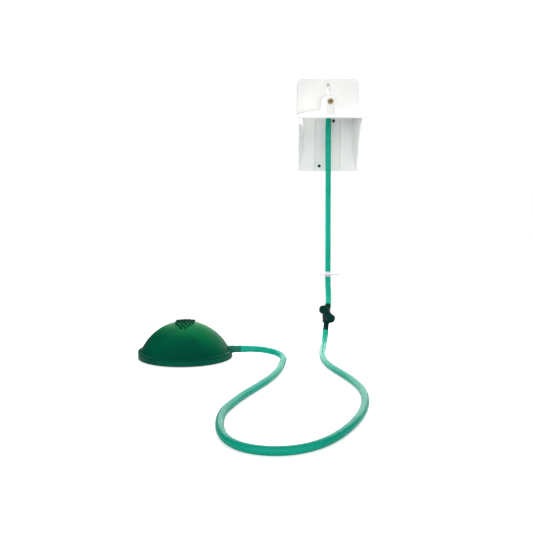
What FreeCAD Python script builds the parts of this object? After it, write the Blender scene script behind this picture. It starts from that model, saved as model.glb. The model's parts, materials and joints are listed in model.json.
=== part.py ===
import FreeCAD, Part

"""Eyewash station: a translucent green drench head on a green hose, hung from a white wall bracket.

The frame: +Z up, the wall is the plane Y = 0, the room is at negative Y, +X is to the right of
someone who faces the wall. The origin is the centre of the bracket's back face. The spray head and
its hose lie on the floor, floor_drop below the origin. All sizes are in millimetres.
"""

import math
import os

import Sketcher

DIMENSIONS = [
    # the hose, which the other sizes were measured against
    ("hose_outer", 12.0),
    ("hose_inner", 8.0),
    ("floor_drop", 450.0),
    # wall bracket
    ("plate_width", 133.0),
    ("plate_height", 196.0),
    ("plate_thick", 8.0),
    ("plate_corner", 12.0),
    ("plate_foot_corner", 3.0),
    ("plate_edge_round", 1.5),
    ("channel_width", 55.0),
    ("channel_deep", 4.0),
    ("channel_top", 14.0),
    ("shelf_depth", 89.0),
    ("shelf_front_height", 13.0),
    ("shelf_thick", 3.0),
    ("shelf_lip", 4.0),
    ("shelf_flare", 10.0),
    ("gusset_thick", 2.5),
    ("nose_length", 80.0),
    ("nose_front_half", 10.5),
    ("nose_root_half", 15.0),
    ("nose_top_front", 54.0),
    ("nose_top_root", 58.0),
    # fixings
    ("hanger_height", 85.5),
    ("hanger_travel", 15.0),
    ("hanger_slot", 4.6),
    ("hanger_entry", 9.4),
    ("hanger_rim", 1.6),
    ("screw_shank", 4.0),
    ("screw_head", 6.4),
    ("screw_reach", 28.0),
    ("screw_hole", 4.4),
    ("upper_fixing_side", 12.5),
    ("upper_fixing_height", 10.0),
    ("lower_fixing_side", -17.5),
    ("lower_fixing_height", -86.0),
    # water inlet in the nose
    ("inlet_height", 44.0),
    ("inlet_mouth", 12.6),
    ("inlet_socket", 17.0),
    ("inlet_bore", 9.4),
    ("inlet_thread_length", 9.0),
    ("bushing_length", 18.0),
    ("passage", 7.0),
    ("outlet_out", 20.0),
    ("outlet_height", 19.0),
    ("outlet_collar", 4.0),
    ("outlet_seal", 1.4),
    ("outlet_plug", 18.0),
    # stop disc
    ("disc_outer", 55.0),
    ("disc_thick", 2.4),
    ("disc_hub", 17.0),
    ("disc_hub_height", 11.0),
    ("disc_gap", 0.3),
    # stopcock
    ("valve_length", 72.0),
    ("barrel_outer", 19.0),
    ("barrel_half", 9.0),
    ("plug_outer", 12.0),
    ("socket_outer", 12.4),
    ("waterway", 6.0),
    ("running_gap", 0.05),
    ("handle_span", 27.2),
    ("handle_lobe", 19.0),
    ("handle_thick", 8.0),
    ("handle_gap", 0.4),
    ("handle_turn", 35.0),
    # spray head
    ("head_out", 255.0),
    ("head_left", 285.0),
    ("flange_outer", 178.0),
    ("flange_top", 14.0),
    ("flange_thick", 2.6),
    ("ring_foot", 1.0),
    ("ring_wall", 3.0),
    ("cap_radius", 91.0),
    ("cap_sink", 36.5),
    ("shell_thick", 2.5),
    ("nozzle_pitch", 8.0),
    ("nozzle_row", 7.0),
    ("nozzle_outer", 4.0),
    ("nozzle_hole", 4.3),
    ("nozzle_proud", 3.0),
    ("spray_half_width", 20.0),
    ("spray_half_length", 36.0),
    ("mat_thick", 1.6),
    ("stub_outer", 14.0),
    ("stub_reach", 105.0),
    ("stub_height", 14.0),
    ("stub_heading", 4.0),
    ("foot_outer", 14.0),
    ("hose_gap", 0.3),
    ("clip_width", 5.0),
]

# The hose from the outlet fitting to the stopcock: (right, out, up) from the point on the floor under
# the origin. It hangs straight, leans out of the channel and curls forward into the stopcock.
SUPPLY_ROUTE = [
    (0.0, -20.0, 469.0),
    (-0.3, -49.7, 114.8),
    (0.0, -55.9, 97.9),
]
VALVE_TOP = (-2.0, -80.0, 71.8)
VALVE_SLOPE = (-9.0, -55.0, -46.0)
SUPPLY_LAST_RUN = 18.0

# The hose on the floor from the stopcock to the spray head: forward, round a wide bend and back.
FLOOR_ROUTE = [
    (-21.0, -203.0, 6.0),
    (-26.0, -250.0, 6.0),
    (-27.0, -305.0, 6.0),
    (-19.0, -358.0, 6.0),
    (-3.0, -410.0, 6.0),
    (12.0, -463.0, 6.0),
    (20.0, -520.0, 6.0),
    (17.0, -580.0, 6.0),
    (5.0, -640.0, 6.0),
    (-14.0, -694.0, 6.0),
    (-36.0, -740.0, 6.0),
    (-61.0, -776.0, 6.0),
    (-92.0, -800.0, 6.0),
    (-127.0, -806.0, 6.0),
    (-160.0, -793.0, 6.0),
    (-182.0, -763.0, 6.0),
    (-193.0, -722.0, 6.0),
    (-196.0, -674.0, 6.0),
    (-193.0, -635.0, 6.0),
    (-184.0, -600.0, 6.0),
    (-168.0, -551.0, 6.0),
    (-147.0, -500.0, 6.0),
    (-126.0, -447.0, 6.0),
    (-111.0, -392.0, 6.0),
    (-104.0, -345.0, 6.4),
    (-98.9, -305.8, 8.4),
    (-105.0, -282.6, 10.6),
    (-119.3, -263.3, 12.4),
    (-139.7, -250.7, 13.6),
]
STUB_RUN = 17.0


def build_sheet(doc):
    """The spreadsheet of driving dimensions, one alias for each."""
    sheet = doc.addObject("Spreadsheet::Sheet", "Dims")
    for row, (alias, value) in enumerate(DIMENSIONS, start=1):
        sheet.set(f"A{row}", alias)
        sheet.set(f"B{row}", str(value))
        sheet.setAlias(f"B{row}", alias)
    doc.recompute()
    return sheet


doc = FreeCAD.newDocument("eyewash_station")
sheet = build_sheet(doc)
parts = {}


def dim(alias):
    """The value of one driving dimension."""
    return float(sheet.get(alias))


def keep(node, obj, placement=None):
    """Name an object as a piece of the station."""
    obj.Label = node
    if placement is not None:
        obj.Placement = placement
    parts[node] = obj
    return obj


def bind(obj, **expressions):
    """Bind properties of an object to expressions on the sheet; a dot is written as two underscores."""
    for path, expression in expressions.items():
        obj.setExpression(path.replace("__", "."), expression)
    return obj


def primitive(kind, name, at=(0, 0, 0), turn=None, **expressions):
    """A Part primitive with its sizes bound to the sheet; at is three numbers or expressions."""
    obj = doc.addObject("Part::" + kind, name)
    if turn is not None:
        obj.Placement = FreeCAD.Placement(FreeCAD.Vector(), turn)
    bind(obj, **expressions)
    for axis, value in zip("xyz", at):
        obj.setExpression(f"Placement.Base.{axis}", str(value))
    return obj


def fuse(name, shapes):
    """One solid from several."""
    obj = doc.addObject("Part::MultiFuse", name)
    obj.Shapes = shapes
    return obj


def cut(name, base, tools):
    """A solid with others taken out of it, one after the other."""
    result = base
    for number, tool in enumerate(tools, start=1):
        step = doc.addObject("Part::Cut", name if number == len(tools) else f"{name}_cut_{number}")
        step.Base = result
        step.Tool = tool
        result = step
    return result


def group(name, shapes):
    """Separate equal solids in one node."""
    obj = doc.addObject("Part::Compound", name)
    obj.Links = shapes
    return obj


FORWARD = FreeCAD.Rotation(FreeCAD.Vector(1, 0, 0), 90)  # a cylinder's length runs to -Y
SIDEWAYS = FreeCAD.Rotation(FreeCAD.Vector(0, 1, 0), 90)  # a cylinder's length runs to +X


def origin_plane(body, role):
    """A body's own origin plane, found by its role."""
    return next(f for f in body.Origin.OriginFeatures if f.Role == role)


def new_sketch(body, name, role):
    """An empty sketch on one of the body's origin planes."""
    sketch = body.newObject("Sketcher::SketchObject", name)
    sketch.AttachmentSupport = [(origin_plane(body, role), "")]
    sketch.MapMode = "FlatFace"
    return sketch


def polygon(sketch, corners):
    """A closed polygon whose corners are expressions (across, up) on the sketch's own axes."""
    count = len(corners)
    spread = [(math.cos(2 * math.pi * i / count), math.sin(2 * math.pi * i / count)) for i in range(count)]
    points = [FreeCAD.Vector(50 * a, 50 * b, 0) for a, b in spread]
    first = len(sketch.Geometry)
    for i in range(count):
        sketch.addGeometry(Part.LineSegment(points[i], points[(i + 1) % count]), False)
    for i in range(count):
        sketch.addConstraint(Sketcher.Constraint("Coincident", first + i, 2, first + (i + 1) % count, 1))
    for i, corner in enumerate(corners):
        for kind, expression in zip(("DistanceX", "DistanceY"), corner):
            number = sketch.addConstraint(Sketcher.Constraint(kind, -1, 1, first + i, 1, 1.0))
            sketch.setExpression(f"Constraints[{number}]", str(expression))


def pad(body, name, sketch, length, reverse=False):
    """A sketch extruded by an expression."""
    feature = body.newObject("PartDesign::Pad", name)
    feature.Profile = sketch
    feature.Reversed = reverse
    feature.setExpression("Length", length)
    doc.recompute()
    return feature


def revolution(body, name, sketch):
    """A sketch on the XZ plane turned about the body's Z axis."""
    feature = body.newObject("PartDesign::Revolution", name)
    feature.Profile = sketch
    feature.ReferenceAxis = (sketch, ["V_Axis"])
    feature.Angle = 360
    doc.recompute()
    return feature


def turned_blank(name, corners):
    """A body that revolves a polygon of (radius, height) expressions."""
    body = doc.addObject("PartDesign::Body", name)
    sketch = new_sketch(body, name + "_profile", "XZ_Plane")
    polygon(sketch, corners)
    revolution(body, name + "_turned", sketch)
    return body


def turned(node, corners, placement):
    """A turned piece, put in its place and kept as a node."""
    return keep(node, turned_blank(node, corners), placement)


def fillet(body, name, radius, test):
    """Round the edges whose middle point passes a test."""
    base = body.Tip
    names = []
    for number, edge in enumerate(body.Shape.Edges, start=1):
        if test(edge.valueAt((edge.FirstParameter + edge.LastParameter) / 2)):
            names.append(f"Edge{number}")
    feature = body.newObject("PartDesign::Fillet", name)
    feature.Base = (base, names)
    feature.setExpression("Radius", radius)
    doc.recompute()


# ---------------------------------------------------------------- wall bracket


def bracket_plate():
    """The plate: a rounded pad with a hose channel, two screw holes and a keyhole."""
    body = doc.addObject("PartDesign::Body", "bracket_plate")
    outline = new_sketch(body, "plate_outline", "XZ_Plane")
    wide, high = "Dims.plate_width / 2", "Dims.plate_height / 2"
    polygon(outline, [("-" + wide, "-" + high), (wide, "-" + high), (wide, high), ("-" + wide, high)])
    pad(body, "plate_pad", outline, "Dims.plate_thick")
    if body.Shape.BoundBox.YMax > 1:
        body.Tip.Reversed = True
        doc.recompute()
    for name, side, radius in (
        ("top_corners", 1, "Dims.plate_corner"),
        ("foot_corners", -1, "Dims.plate_foot_corner"),
    ):
        fillet(body, name, radius, lambda p, s=side: p.z * s > 90 and 1 < abs(p.y) < 7 and abs(p.x) > 60)
    front = -dim("plate_thick")
    fillet(body, "front_edge", "Dims.plate_edge_round", lambda p: abs(p.y - front) < 0.01)
    return body


def hanger_tools():
    """The keyhole: a narrow slot over a round entry, as solids to cut away."""
    slot = primitive(
        "Box",
        "hanger_slot",
        at=("-Dims.hanger_slot / 2", "-30", "Dims.hanger_height - Dims.hanger_travel"),
        Length="Dims.hanger_slot",
        Width="60",
        Height="Dims.hanger_travel",
    )
    top = primitive(
        "Cylinder",
        "hanger_top",
        at=("0", "30", "Dims.hanger_height"),
        turn=FORWARD,
        Radius="Dims.hanger_slot / 2",
        Height="60",
    )
    entry = primitive(
        "Cylinder",
        "hanger_entry",
        at=("0", "30", "Dims.hanger_height - Dims.hanger_travel"),
        turn=FORWARD,
        Radius="Dims.hanger_entry / 2",
        Height="60",
    )
    return [slot, top, entry]


def hanger_rim():
    """The raised rim round the keyhole, before the keyhole is cut."""
    outer = "Dims.hanger_slot / 2 + Dims.hanger_rim + 1.2"
    reach = "Dims.plate_thick + 1.5"
    top = primitive(
        "Cylinder",
        "rim_top",
        at=("0", "-1", "Dims.hanger_height"),
        turn=FORWARD,
        Radius=outer,
        Height=reach + " - 1",
    )
    web = primitive(
        "Box",
        "rim_web",
        at=(f"-({outer})", f"-({reach})", "Dims.hanger_height - Dims.hanger_travel"),
        Length=f"2 * ({outer})",
        Width=reach + " - 1",
        Height="Dims.hanger_travel",
    )
    entry = primitive(
        "Cylinder",
        "rim_entry",
        at=("0", "-1", "Dims.hanger_height - Dims.hanger_travel"),
        turn=FORWARD,
        Radius="Dims.hanger_entry / 2 + Dims.hanger_rim",
        Height=reach + " - 1",
    )
    return [top, web, entry]


def vectors(points):
    """The points as vectors."""
    return [FreeCAD.Vector(*p) for p in points]


def closed_wire(points):
    """A closed polygon wire."""
    return Part.makePolygon(vectors(points) + [FreeCAD.Vector(*points[0])])


def ruled(name, sections):
    """A solid ruled from section to section."""
    obj = doc.addObject("Part::Feature", name)
    obj.Shape = Part.makeLoft([closed_wire(s) for s in sections], True, True)
    return obj


def shelf_section(across, back_height, middle_height, flare):
    """One upright section of the shelf; it fans out by flare towards the front edge."""
    depth, front_height = dim("shelf_depth"), dim("shelf_front_height")
    thick, lip = dim("shelf_thick"), dim("shelf_lip")
    root = 4.0
    half = (root + depth) / 2

    def point(out, height):
        return (across + flare * (out - root) / (depth - root), -out, height)

    return [
        point(root, back_height),
        point(half, middle_height),
        point(depth, front_height),
        point(depth, front_height - lip),
        point(depth - thick, front_height - lip),
        point(half, middle_height - thick),
        point(root, back_height - thick),
    ]


def shelf():
    """The shelf: a ridge in the middle, a scoop each side and a flared edge, sloping down to the front."""
    flare = dim("shelf_flare")
    edge = dim("plate_width") / 2 - 0.5
    halves = [
        (0.0, 34.0, 27.0, 0.0),
        (30.0, 33.0, 19.0, 0.0),
        (54.0, 29.0, 18.0, 2.0),
        (edge, 22.0, 17.5, flare),
    ]
    left = [shelf_section(-x, b, m, -f) for x, b, m, f in reversed(halves[1:])]
    right = [shelf_section(x, b, m, f) for x, b, m, f in halves]
    return ruled("shelf", left + right)


def gusset(side):
    """A side wall under the shelf, hollowed out in front so that it tapers to the plate's foot."""
    thick = dim("gusset_thick")
    levels = [
        # height, inner root, outer face, reach from the wall
        (16.5, 55.0, 66.2, 52.0),
        (11.0, 54.0, 68.0, 80.0),
        (4.0, 53.0, 66.5, 78.0),
        (-11.0, 51.0, 66.0, 58.0),
        (-34.0, 51.5, 65.5, 39.0),
        (-61.0, 53.0, 65.0, 26.0),
        (-94.0, 60.0, 64.5, 9.0),
    ]
    root = 4.0
    sections = [
        [
            (side * inner, -root, height),
            (side * (outer - thick), -reach, height),
            (side * outer, -reach, height),
            (side * outer, -root, height),
        ]
        for height, inner, outer, reach in levels
    ]
    return ruled(f"gusset_{'right' if side > 0 else 'left'}", sections)


def nose():
    """The nose over the shelf that houses the water inlet; it tapers forward and flares at its foot."""
    length = dim("nose_length")
    front, root = dim("nose_front_half"), dim("nose_root_half")
    root_top = dim("nose_top_root")
    sections = [
        [(-root, -4, 25), (root, -4, 25), (root, -4, root_top), (-root, -4, root_top)],
        [
            (-front, -length, 14.5),
            (front, -length, 14.5),
            (front, -length, dim("nose_top_front")),
            (-front, -length, dim("nose_top_front")),
        ],
    ]
    return ruled("nose", sections)


def bracket_bores():
    """The waterway in the bracket: mouth, bushing socket, chamber and the bore down to the outlet."""
    height = "Dims.inlet_height"
    mouth = primitive(
        "Cylinder",
        "mouth_bore",
        at=("0", "-Dims.nose_length + 2.2", height),
        turn=FORWARD,
        Radius="Dims.inlet_mouth / 2",
        Height="20",
    )
    socket = primitive(
        "Cylinder",
        "socket_bore",
        at=("0", "-Dims.nose_length + 2 + Dims.bushing_length + 8", height),
        turn=FORWARD,
        Radius="Dims.inlet_socket / 2",
        Height="Dims.bushing_length + 8",
    )
    chamber = primitive(
        "Cylinder",
        "chamber_bore",
        at=("0", "-Dims.outlet_out + Dims.passage", height),
        turn=FORWARD,
        Radius="Dims.passage / 2",
        Height="Dims.nose_length - Dims.outlet_out - 18",
    )
    down = primitive(
        "Cylinder",
        "down_bore",
        at=("0", "-Dims.outlet_out", "-20"),
        Radius="Dims.passage / 2 - 0.5",
        Height="Dims.inlet_height + 20",
    )
    seat = primitive(
        "Cylinder",
        "outlet_seat",
        at=("0", "-Dims.outlet_out", "-20"),
        Radius="6.5",
        Height="20 + Dims.outlet_height + Dims.outlet_plug + 1.5",
    )
    recess = primitive(
        "Cylinder",
        "collar_recess",
        at=("0", "-Dims.outlet_out", "-20"),
        Radius="9",
        Height="20 + Dims.outlet_height + Dims.outlet_collar + Dims.outlet_seal + 0.1",
    )
    return [mouth, socket, chamber, down, seat, recess]


def screw_hole_tools():
    """The two clearance holes with shallow head seats, one each side of the hose."""
    tools = []
    for name in ("upper", "lower"):
        tools.append(
            primitive(
                "Cylinder",
                f"{name}_hole",
                at=(f"Dims.{name}_fixing_side", "5", f"Dims.{name}_fixing_height"),
                turn=FORWARD,
                Radius="Dims.screw_hole / 2",
                Height="30",
            )
        )
    return tools


def build_bracket():
    """One white moulding: plate, keyhole rim, shelf, gussets and nose, with its bores."""
    channel = primitive(
        "Box",
        "hose_channel",
        at=("-Dims.channel_width / 2", "-Dims.plate_thick - 1", "-Dims.plate_height / 2 - 1"),
        Length="Dims.channel_width",
        Width="Dims.channel_deep + 1",
        Height="Dims.plate_height / 2 + 1 + Dims.channel_top",
    )
    plate = cut("channelled_plate", bracket_plate(), [channel])
    solids = [plate, shelf(), gusset(1), gusset(-1), nose()] + hanger_rim()
    tools = bracket_bores() + screw_hole_tools() + hanger_tools()
    keep("wall_bracket", cut("wall_bracket", fuse("bracket_solids", solids), tools))


def screw(name, across, level, head_at, head_radius):
    """A pan-head screw that runs into the wall; head_at is where the head's underside sits."""
    shank = primitive(
        "Cylinder",
        name + "_shank",
        at=(across, "Dims.screw_reach", level),
        turn=FORWARD,
        Radius="Dims.screw_shank / 2",
        Height="Dims.screw_reach",
    )
    neck = primitive(
        "Cylinder",
        name + "_neck",
        at=(across, "1", level),
        turn=FORWARD,
        Radius="Dims.screw_shank / 2 - 0.2",
        Height=f"{head_at} + 1.5",
    )
    head = primitive(
        "Cylinder",
        name + "_head",
        at=(across, f"-({head_at})", level),
        turn=FORWARD,
        Radius=head_radius,
        Height="2.4",
    )
    return fuse(name, [shank, neck, head])


def cross_recess(name, across, level, face):
    """A cross-shaped driver recess, as two boxes."""
    bars = []
    for tag, wide, tall in (("flat", "3.4", "0.8"), ("tall", "0.8", "3.4")):
        bars.append(
            primitive(
                "Box",
                f"{name}_{tag}",
                at=(f"{across} - {wide} / 2", face, f"{level} - {tall} / 2"),
                Length=wide,
                Width="1.4",
                Height=tall,
            )
        )
    return bars


def build_fixings():
    """The hanging screw in the keyhole and the two black screws beside the hose."""
    seat = "Dims.plate_thick + 1.5"
    hanger = screw("hanger", "0", "Dims.hanger_height", seat, "Dims.screw_head / 2")
    recess = cross_recess("hanger_recess", "0", "Dims.hanger_height", f"-({seat}) - 2.5")
    keep("hanger_screw", cut("hanger_screw", hanger, recess))
    seat = "Dims.plate_thick - Dims.channel_deep"
    pair = []
    for name in ("upper", "lower"):
        across, level = f"Dims.{name}_fixing_side", f"Dims.{name}_fixing_height"
        plain = screw(f"{name}_screw", across, level, seat, "Dims.screw_head / 2")
        recess = cross_recess(f"{name}_recess", across, level, f"-({seat}) - 2.5")
        pair.append(cut(f"{name}_wall_screw", plain, recess))
    keep("wall_screws", group("wall_screws", pair))


def ring_y(name, outer, inner, start, length, height="0"):
    """A ring whose axis runs out from the wall; start is its end nearest the wall."""
    at = ("0", start, height)
    rod = primitive("Cylinder", name + "_rod", at=at, turn=FORWARD, Radius=outer, Height=length)
    behind = ("0", f"{start} + 1", height)
    hole = primitive("Cylinder", name + "_hole", at=behind, turn=FORWARD, Radius=inner, Height=f"{length} + 2")
    return cut(name, rod, [hole])


def build_inlet():
    """The brass bushing and what stands behind it: seal, strainer and flow control disc; and the outlet."""
    height = "Dims.inlet_height"
    back = "(-Dims.nose_length + 2 + Dims.bushing_length)"
    body = primitive(
        "Cylinder",
        "bushing_body",
        at=("0", back, height),
        turn=FORWARD,
        Radius="Dims.inlet_socket / 2",
        Height="Dims.bushing_length - 0.2",
    )
    neck = primitive(
        "Cylinder",
        "bushing_neck",
        at=("0", "-Dims.nose_length + 3", height),
        turn=FORWARD,
        Radius="Dims.inlet_mouth / 2",
        Height="3.4",
    )
    bore = primitive(
        "Cylinder",
        "bushing_bore",
        at=("0", "-Dims.nose_length - 1 + Dims.inlet_thread_length", height),
        turn=FORWARD,
        Radius="Dims.inlet_bore / 2",
        Height="Dims.inlet_thread_length + 5",
    )
    screen_seat = primitive(
        "Cylinder",
        "screen_seat",
        at=("0", "-Dims.nose_length + Dims.inlet_thread_length", height),
        turn=FORWARD,
        Radius="Dims.inlet_bore / 2 - 0.5",
        Height="3",
    )
    way = primitive(
        "Cylinder", "bushing_way", at=("0", f"{back} + 1", height), turn=FORWARD, Radius="3", Height="30"
    )
    solid = fuse("bushing_solid", [body, neck])
    keep("inlet_bushing", cut("inlet_bushing", solid, [bore, screen_seat, way]))
    screen = primitive(
        "Cylinder",
        "strainer_screen",
        at=("0", "-Dims.nose_length - 0.1 + Dims.inlet_thread_length", height),
        turn=FORWARD,
        Radius="Dims.inlet_bore / 2 - 0.55",
        Height="0.7",
    )
    keep("strainer_screen", screen)
    seal = ring_y("inlet_seal", "Dims.inlet_socket / 2 - 0.1", "3.5", f"({back} + 2.2)", "2.1", height)
    keep("inlet_seal", seal)
    disc_outer = "Dims.inlet_socket / 2 - 0.3"
    keep("flow_control_disc", ring_y("flow_control_disc", disc_outer, "1.6", f"({back} + 5.6)", "3.2", height))
    # outlet fitting: a plug in the nose and a collar against the end of the hose
    out, foot = "-Dims.outlet_out", "Dims.outlet_height"
    collar_top = foot + " + Dims.outlet_collar"
    at = ("0", out, foot)
    plug = primitive("Cylinder", "plug_rod", at=at, Radius="6.45", Height="Dims.outlet_plug")
    collar = primitive("Cylinder", "collar_rod", at=at, Radius="8.5", Height="Dims.outlet_collar")
    way = primitive("Cylinder", "fitting_way", at=("0", out, foot + " - 1"), Radius="2.6", Height="30")
    keep("outlet_fitting", cut("outlet_fitting", fuse("fitting_solid", [plug, collar]), [way]))
    seal_at = ("0", out, collar_top + " + 0.05")
    rod = primitive("Cylinder", "outlet_seal_rod", at=seal_at, Radius="8.3", Height="Dims.outlet_seal")
    hole = primitive("Cylinder", "outlet_seal_hole", at=at, Radius="6.5", Height="20")
    keep("outlet_seal", cut("outlet_seal", rod, [hole]))
    top, lean = (FreeCAD.Vector(*on_floor(p)) for p in SUPPLY_ROUTE[:2])
    way = (top - lean).normalize()
    clip = turned(
        "hose_clip",
        [
            ("Dims.hose_outer / 2 + 0.05", "0"),
            ("Dims.hose_outer / 2 + 0.75", "0"),
            ("Dims.hose_outer / 2 + 0.75", "Dims.clip_width"),
            ("Dims.hose_outer / 2 + 0.05", "Dims.clip_width"),
        ],
        FreeCAD.Placement(top - way * 5.8, FreeCAD.Rotation(FreeCAD.Vector(0, 0, 1), way)),
    )
    print("hose clip at", tuple(clip.Placement.Base))


# ---------------------------------------------------------------- hoses


def route_wire(points, name):
    """Straight runs joined by tangent arcs, each as large as its two runs allow; prints the radii."""
    pts = vectors(points)
    edges = []
    start = pts[0]
    radii = []
    for before, corner, after in zip(pts, pts[1:], pts[2:]):
        way_in = (corner - before).normalize()
        way_out = (after - corner).normalize()
        half_turn = way_in.getAngle(way_out) / 2
        shorter = min((corner - before).Length, (after - corner).Length)
        trim = 0.45 * shorter
        radius = trim / math.tan(half_turn)
        radii.append(radius)
        arc_start = corner - way_in * trim
        arc_end = corner + way_out * trim
        inward = (way_out - way_in).normalize()
        centre = corner + inward * (radius / math.cos(half_turn))
        middle = centre - inward * radius
        edges.append(Part.LineSegment(start, arc_start).toShape())
        edges.append(Part.Arc(arc_start, middle, arc_end).toShape())
        start = arc_end
    edges.append(Part.LineSegment(start, pts[-1]).toShape())
    wire = Part.Wire(edges)
    print(f"{name}: length {wire.Length:.0f}, radii", " ".join(f"{r:.0f}" for r in radii))
    return wire


def tube(node, points):
    """A hose along a route; its volume is compared with its section times its length."""
    wire = route_wire(points, node)
    first = wire.Edges[0]
    start, direction = first.valueAt(first.FirstParameter), first.tangentAt(first.FirstParameter)
    radii = (dim("hose_outer") / 2, dim("hose_inner") / 2)
    solids = []
    for radius in radii:
        ring = Part.Wire(Part.Circle(start, direction, radius).toShape())
        solids.append(wire.makePipeShell([ring], True, False))
    solid = solids[0].cut(solids[1])
    section = math.pi * (radii[0] ** 2 - radii[1] ** 2)
    if abs(solid.Volume / (section * wire.Length) - 1) > 0.01:
        raise RuntimeError(f"{node}: the tube's volume doesn't match its length")
    obj = doc.addObject("Part::Feature", node)
    obj.Shape = solid
    return keep(node, obj)


def on_floor(point):
    """A route point, given over the floor, in the station's frame."""
    return (point[0], point[1], point[2] - dim("floor_drop"))


def valve_line():
    """The stopcock's top point, its lower end and the unit direction down through it."""
    way = FreeCAD.Vector(*VALVE_SLOPE).normalize()
    top = FreeCAD.Vector(*on_floor(VALVE_TOP))
    return top, top + way * dim("valve_length"), way


def stub_line():
    """The end of the spray head's inlet stub and the direction out of it."""
    heading = math.radians(dim("stub_heading"))
    way = FreeCAD.Vector(math.cos(heading), math.sin(heading), 0)
    centre = FreeCAD.Vector(-dim("head_left"), -dim("head_out"), dim("stub_height") - dim("floor_drop"))
    return centre + way * dim("stub_reach"), way


def build_hoses():
    """The hose from the bracket to the stopcock, and the hose from there to the spray head."""
    top, foot, way = valve_line()
    upper = [on_floor(p) for p in SUPPLY_ROUTE] + [tuple(top - way * SUPPLY_LAST_RUN), tuple(top)]
    tube("supply_hose", upper)
    heading = math.atan2(way.x, -way.y)
    points = [foot, foot + way * 15]
    for slope, run in ((26, 15.5), (13, 16)):
        slope = math.radians(slope)
        step = FreeCAD.Vector(
            math.cos(slope) * math.sin(heading), -math.cos(slope) * math.cos(heading), -math.sin(slope)
        )
        points.append(points[-1] + step * run)
    end, out = stub_line()
    last = [tuple(end + out * STUB_RUN), tuple(end + out * dim("hose_gap"))]
    lower = [tuple(p) for p in points] + [on_floor(p) for p in FLOOR_ROUTE] + last
    tube("head_hose", lower)


# ---------------------------------------------------------------- stop disc


def build_stop_disc():
    """The white disc that slides on the hanging hose, with a hub that grips it lightly."""
    low, high = (FreeCAD.Vector(*on_floor(p)) for p in reversed(SUPPLY_ROUTE[:2]))
    up = (high - low).normalize()
    centre = low + up * ((134.0 - SUPPLY_ROUTE[1][2]) / up.z)
    placement = FreeCAD.Placement(centre, FreeCAD.Rotation(FreeCAD.Vector(0, 0, 1), up))
    bore = "Dims.hose_outer / 2 + Dims.disc_gap"
    hub, rim = "Dims.disc_hub / 2", "Dims.disc_outer / 2"
    half, thick = "Dims.disc_hub_height / 2", "Dims.disc_thick"
    turned(
        "hose_stop_disc",
        [
            (bore, f"-{half}"),
            (hub, f"-{half}"),
            (hub, f"-{thick} / 2"),
            (rim, f"-{thick} / 2"),
            (rim, f"{thick} / 2"),
            (f"{hub} + 1", f"{thick} / 2"),
            (hub + " - 1", half),
            (bore, half),
        ],
        placement,
    )
    print("disc centre", tuple(centre), "up", tuple(up))


# ---------------------------------------------------------------- stopcock


def valve_placement():
    """The stopcock's own frame: +Z back up the hose, -Y towards the handle."""
    top, foot, way = valve_line()
    up = way * -1
    right = (FreeCAD.Vector(1, 0, 0) - up * up.x).normalize()
    back = up.cross(right)
    return FreeCAD.Placement((top + foot) / 2, FreeCAD.Rotation(right, back, up, "ZXY"))


def build_valve():
    """The stopcock: a barrel across the hose, two sockets with barbs, a turning plug and a wing handle."""
    place = valve_placement()
    half, barrel = "Dims.valve_length / 2", "Dims.barrel_half"
    across = primitive(
        "Cylinder",
        "valve_barrel",
        at=("0", barrel, "0"),
        turn=FORWARD,
        Radius="Dims.barrel_outer / 2",
        Height=f"2 * {barrel}",
    )
    solids = [across]
    for name, start in (("upper", "0"), ("lower", f"-{half}")):
        solids.append(
            primitive(
                "Cylinder", f"{name}_socket", at=("0", "0", start), Radius="Dims.socket_outer / 2", Height=half
            )
        )
    barb = primitive(
        "Cylinder",
        "valve_barbs",
        at=("0", "0", f"-{half} - 8"),
        Radius="Dims.hose_inner / 2 - 0.05",
        Height="Dims.valve_length + 16",
    )
    way = primitive(
        "Cylinder",
        "valve_waterway",
        at=("0", "0", f"-{half} - 12"),
        Radius="Dims.waterway / 2",
        Height="Dims.valve_length + 24",
    )
    seat = primitive(
        "Cylinder",
        "plug_seat",
        at=("0", "20", "0"),
        turn=FORWARD,
        Radius="Dims.plug_outer / 2 + Dims.running_gap",
        Height="40",
    )
    keep("valve_body", cut("valve_body", fuse("valve_solid", solids + [barb]), [way, seat]), place)

    stem = primitive(
        "Cylinder",
        "plug_stem",
        at=("0", f"{barrel} + 2.6", "0"),
        turn=FORWARD,
        Radius="Dims.plug_outer / 2",
        Height=f"2 * {barrel} + 2.6 + Dims.handle_gap + 5",
    )
    clip_groove = ring_y("clip_groove", "10", "Dims.plug_outer / 2 - 1.2", f"{barrel} + 1.6", "1.2")
    seal_grooves = [
        ring_y(f"seal_groove_{n}", "10", "Dims.plug_outer / 2 - 1.3", start, "1.9")
        for n, start in enumerate((f"{barrel} - 0.6", f"-{barrel} + 2.5"))
    ]
    port = primitive("Cylinder", "plug_port", at=("0", "0", "-10"), Radius="Dims.waterway / 2", Height="20")
    turn = FreeCAD.Rotation(FreeCAD.Vector(0, 1, 0), -dim("handle_turn"))
    spun = place.multiply(FreeCAD.Placement(FreeCAD.Vector(), turn))
    keep("valve_plug", cut("valve_plug", stem, [clip_groove, port] + seal_grooves), spun)
    seals = [
        ring_y(f"seal_{n}", "Dims.plug_outer / 2", "Dims.plug_outer / 2 - 1.3", start, "1.7")
        for n, start in enumerate((f"{barrel} - 0.7", f"-{barrel} + 2.4"))
    ]
    keep("plug_seals", group("plug_seals", seals), spun)
    clip_outer, clip_inner = "Dims.plug_outer / 2 + 1.6", "Dims.plug_outer / 2 - 1.2"
    clip = ring_y("plug_clip", clip_outer, clip_inner, f"{barrel} + 1.5", "1.0")
    keep("plug_clip", clip, spun)
    build_handle(spun)


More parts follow.
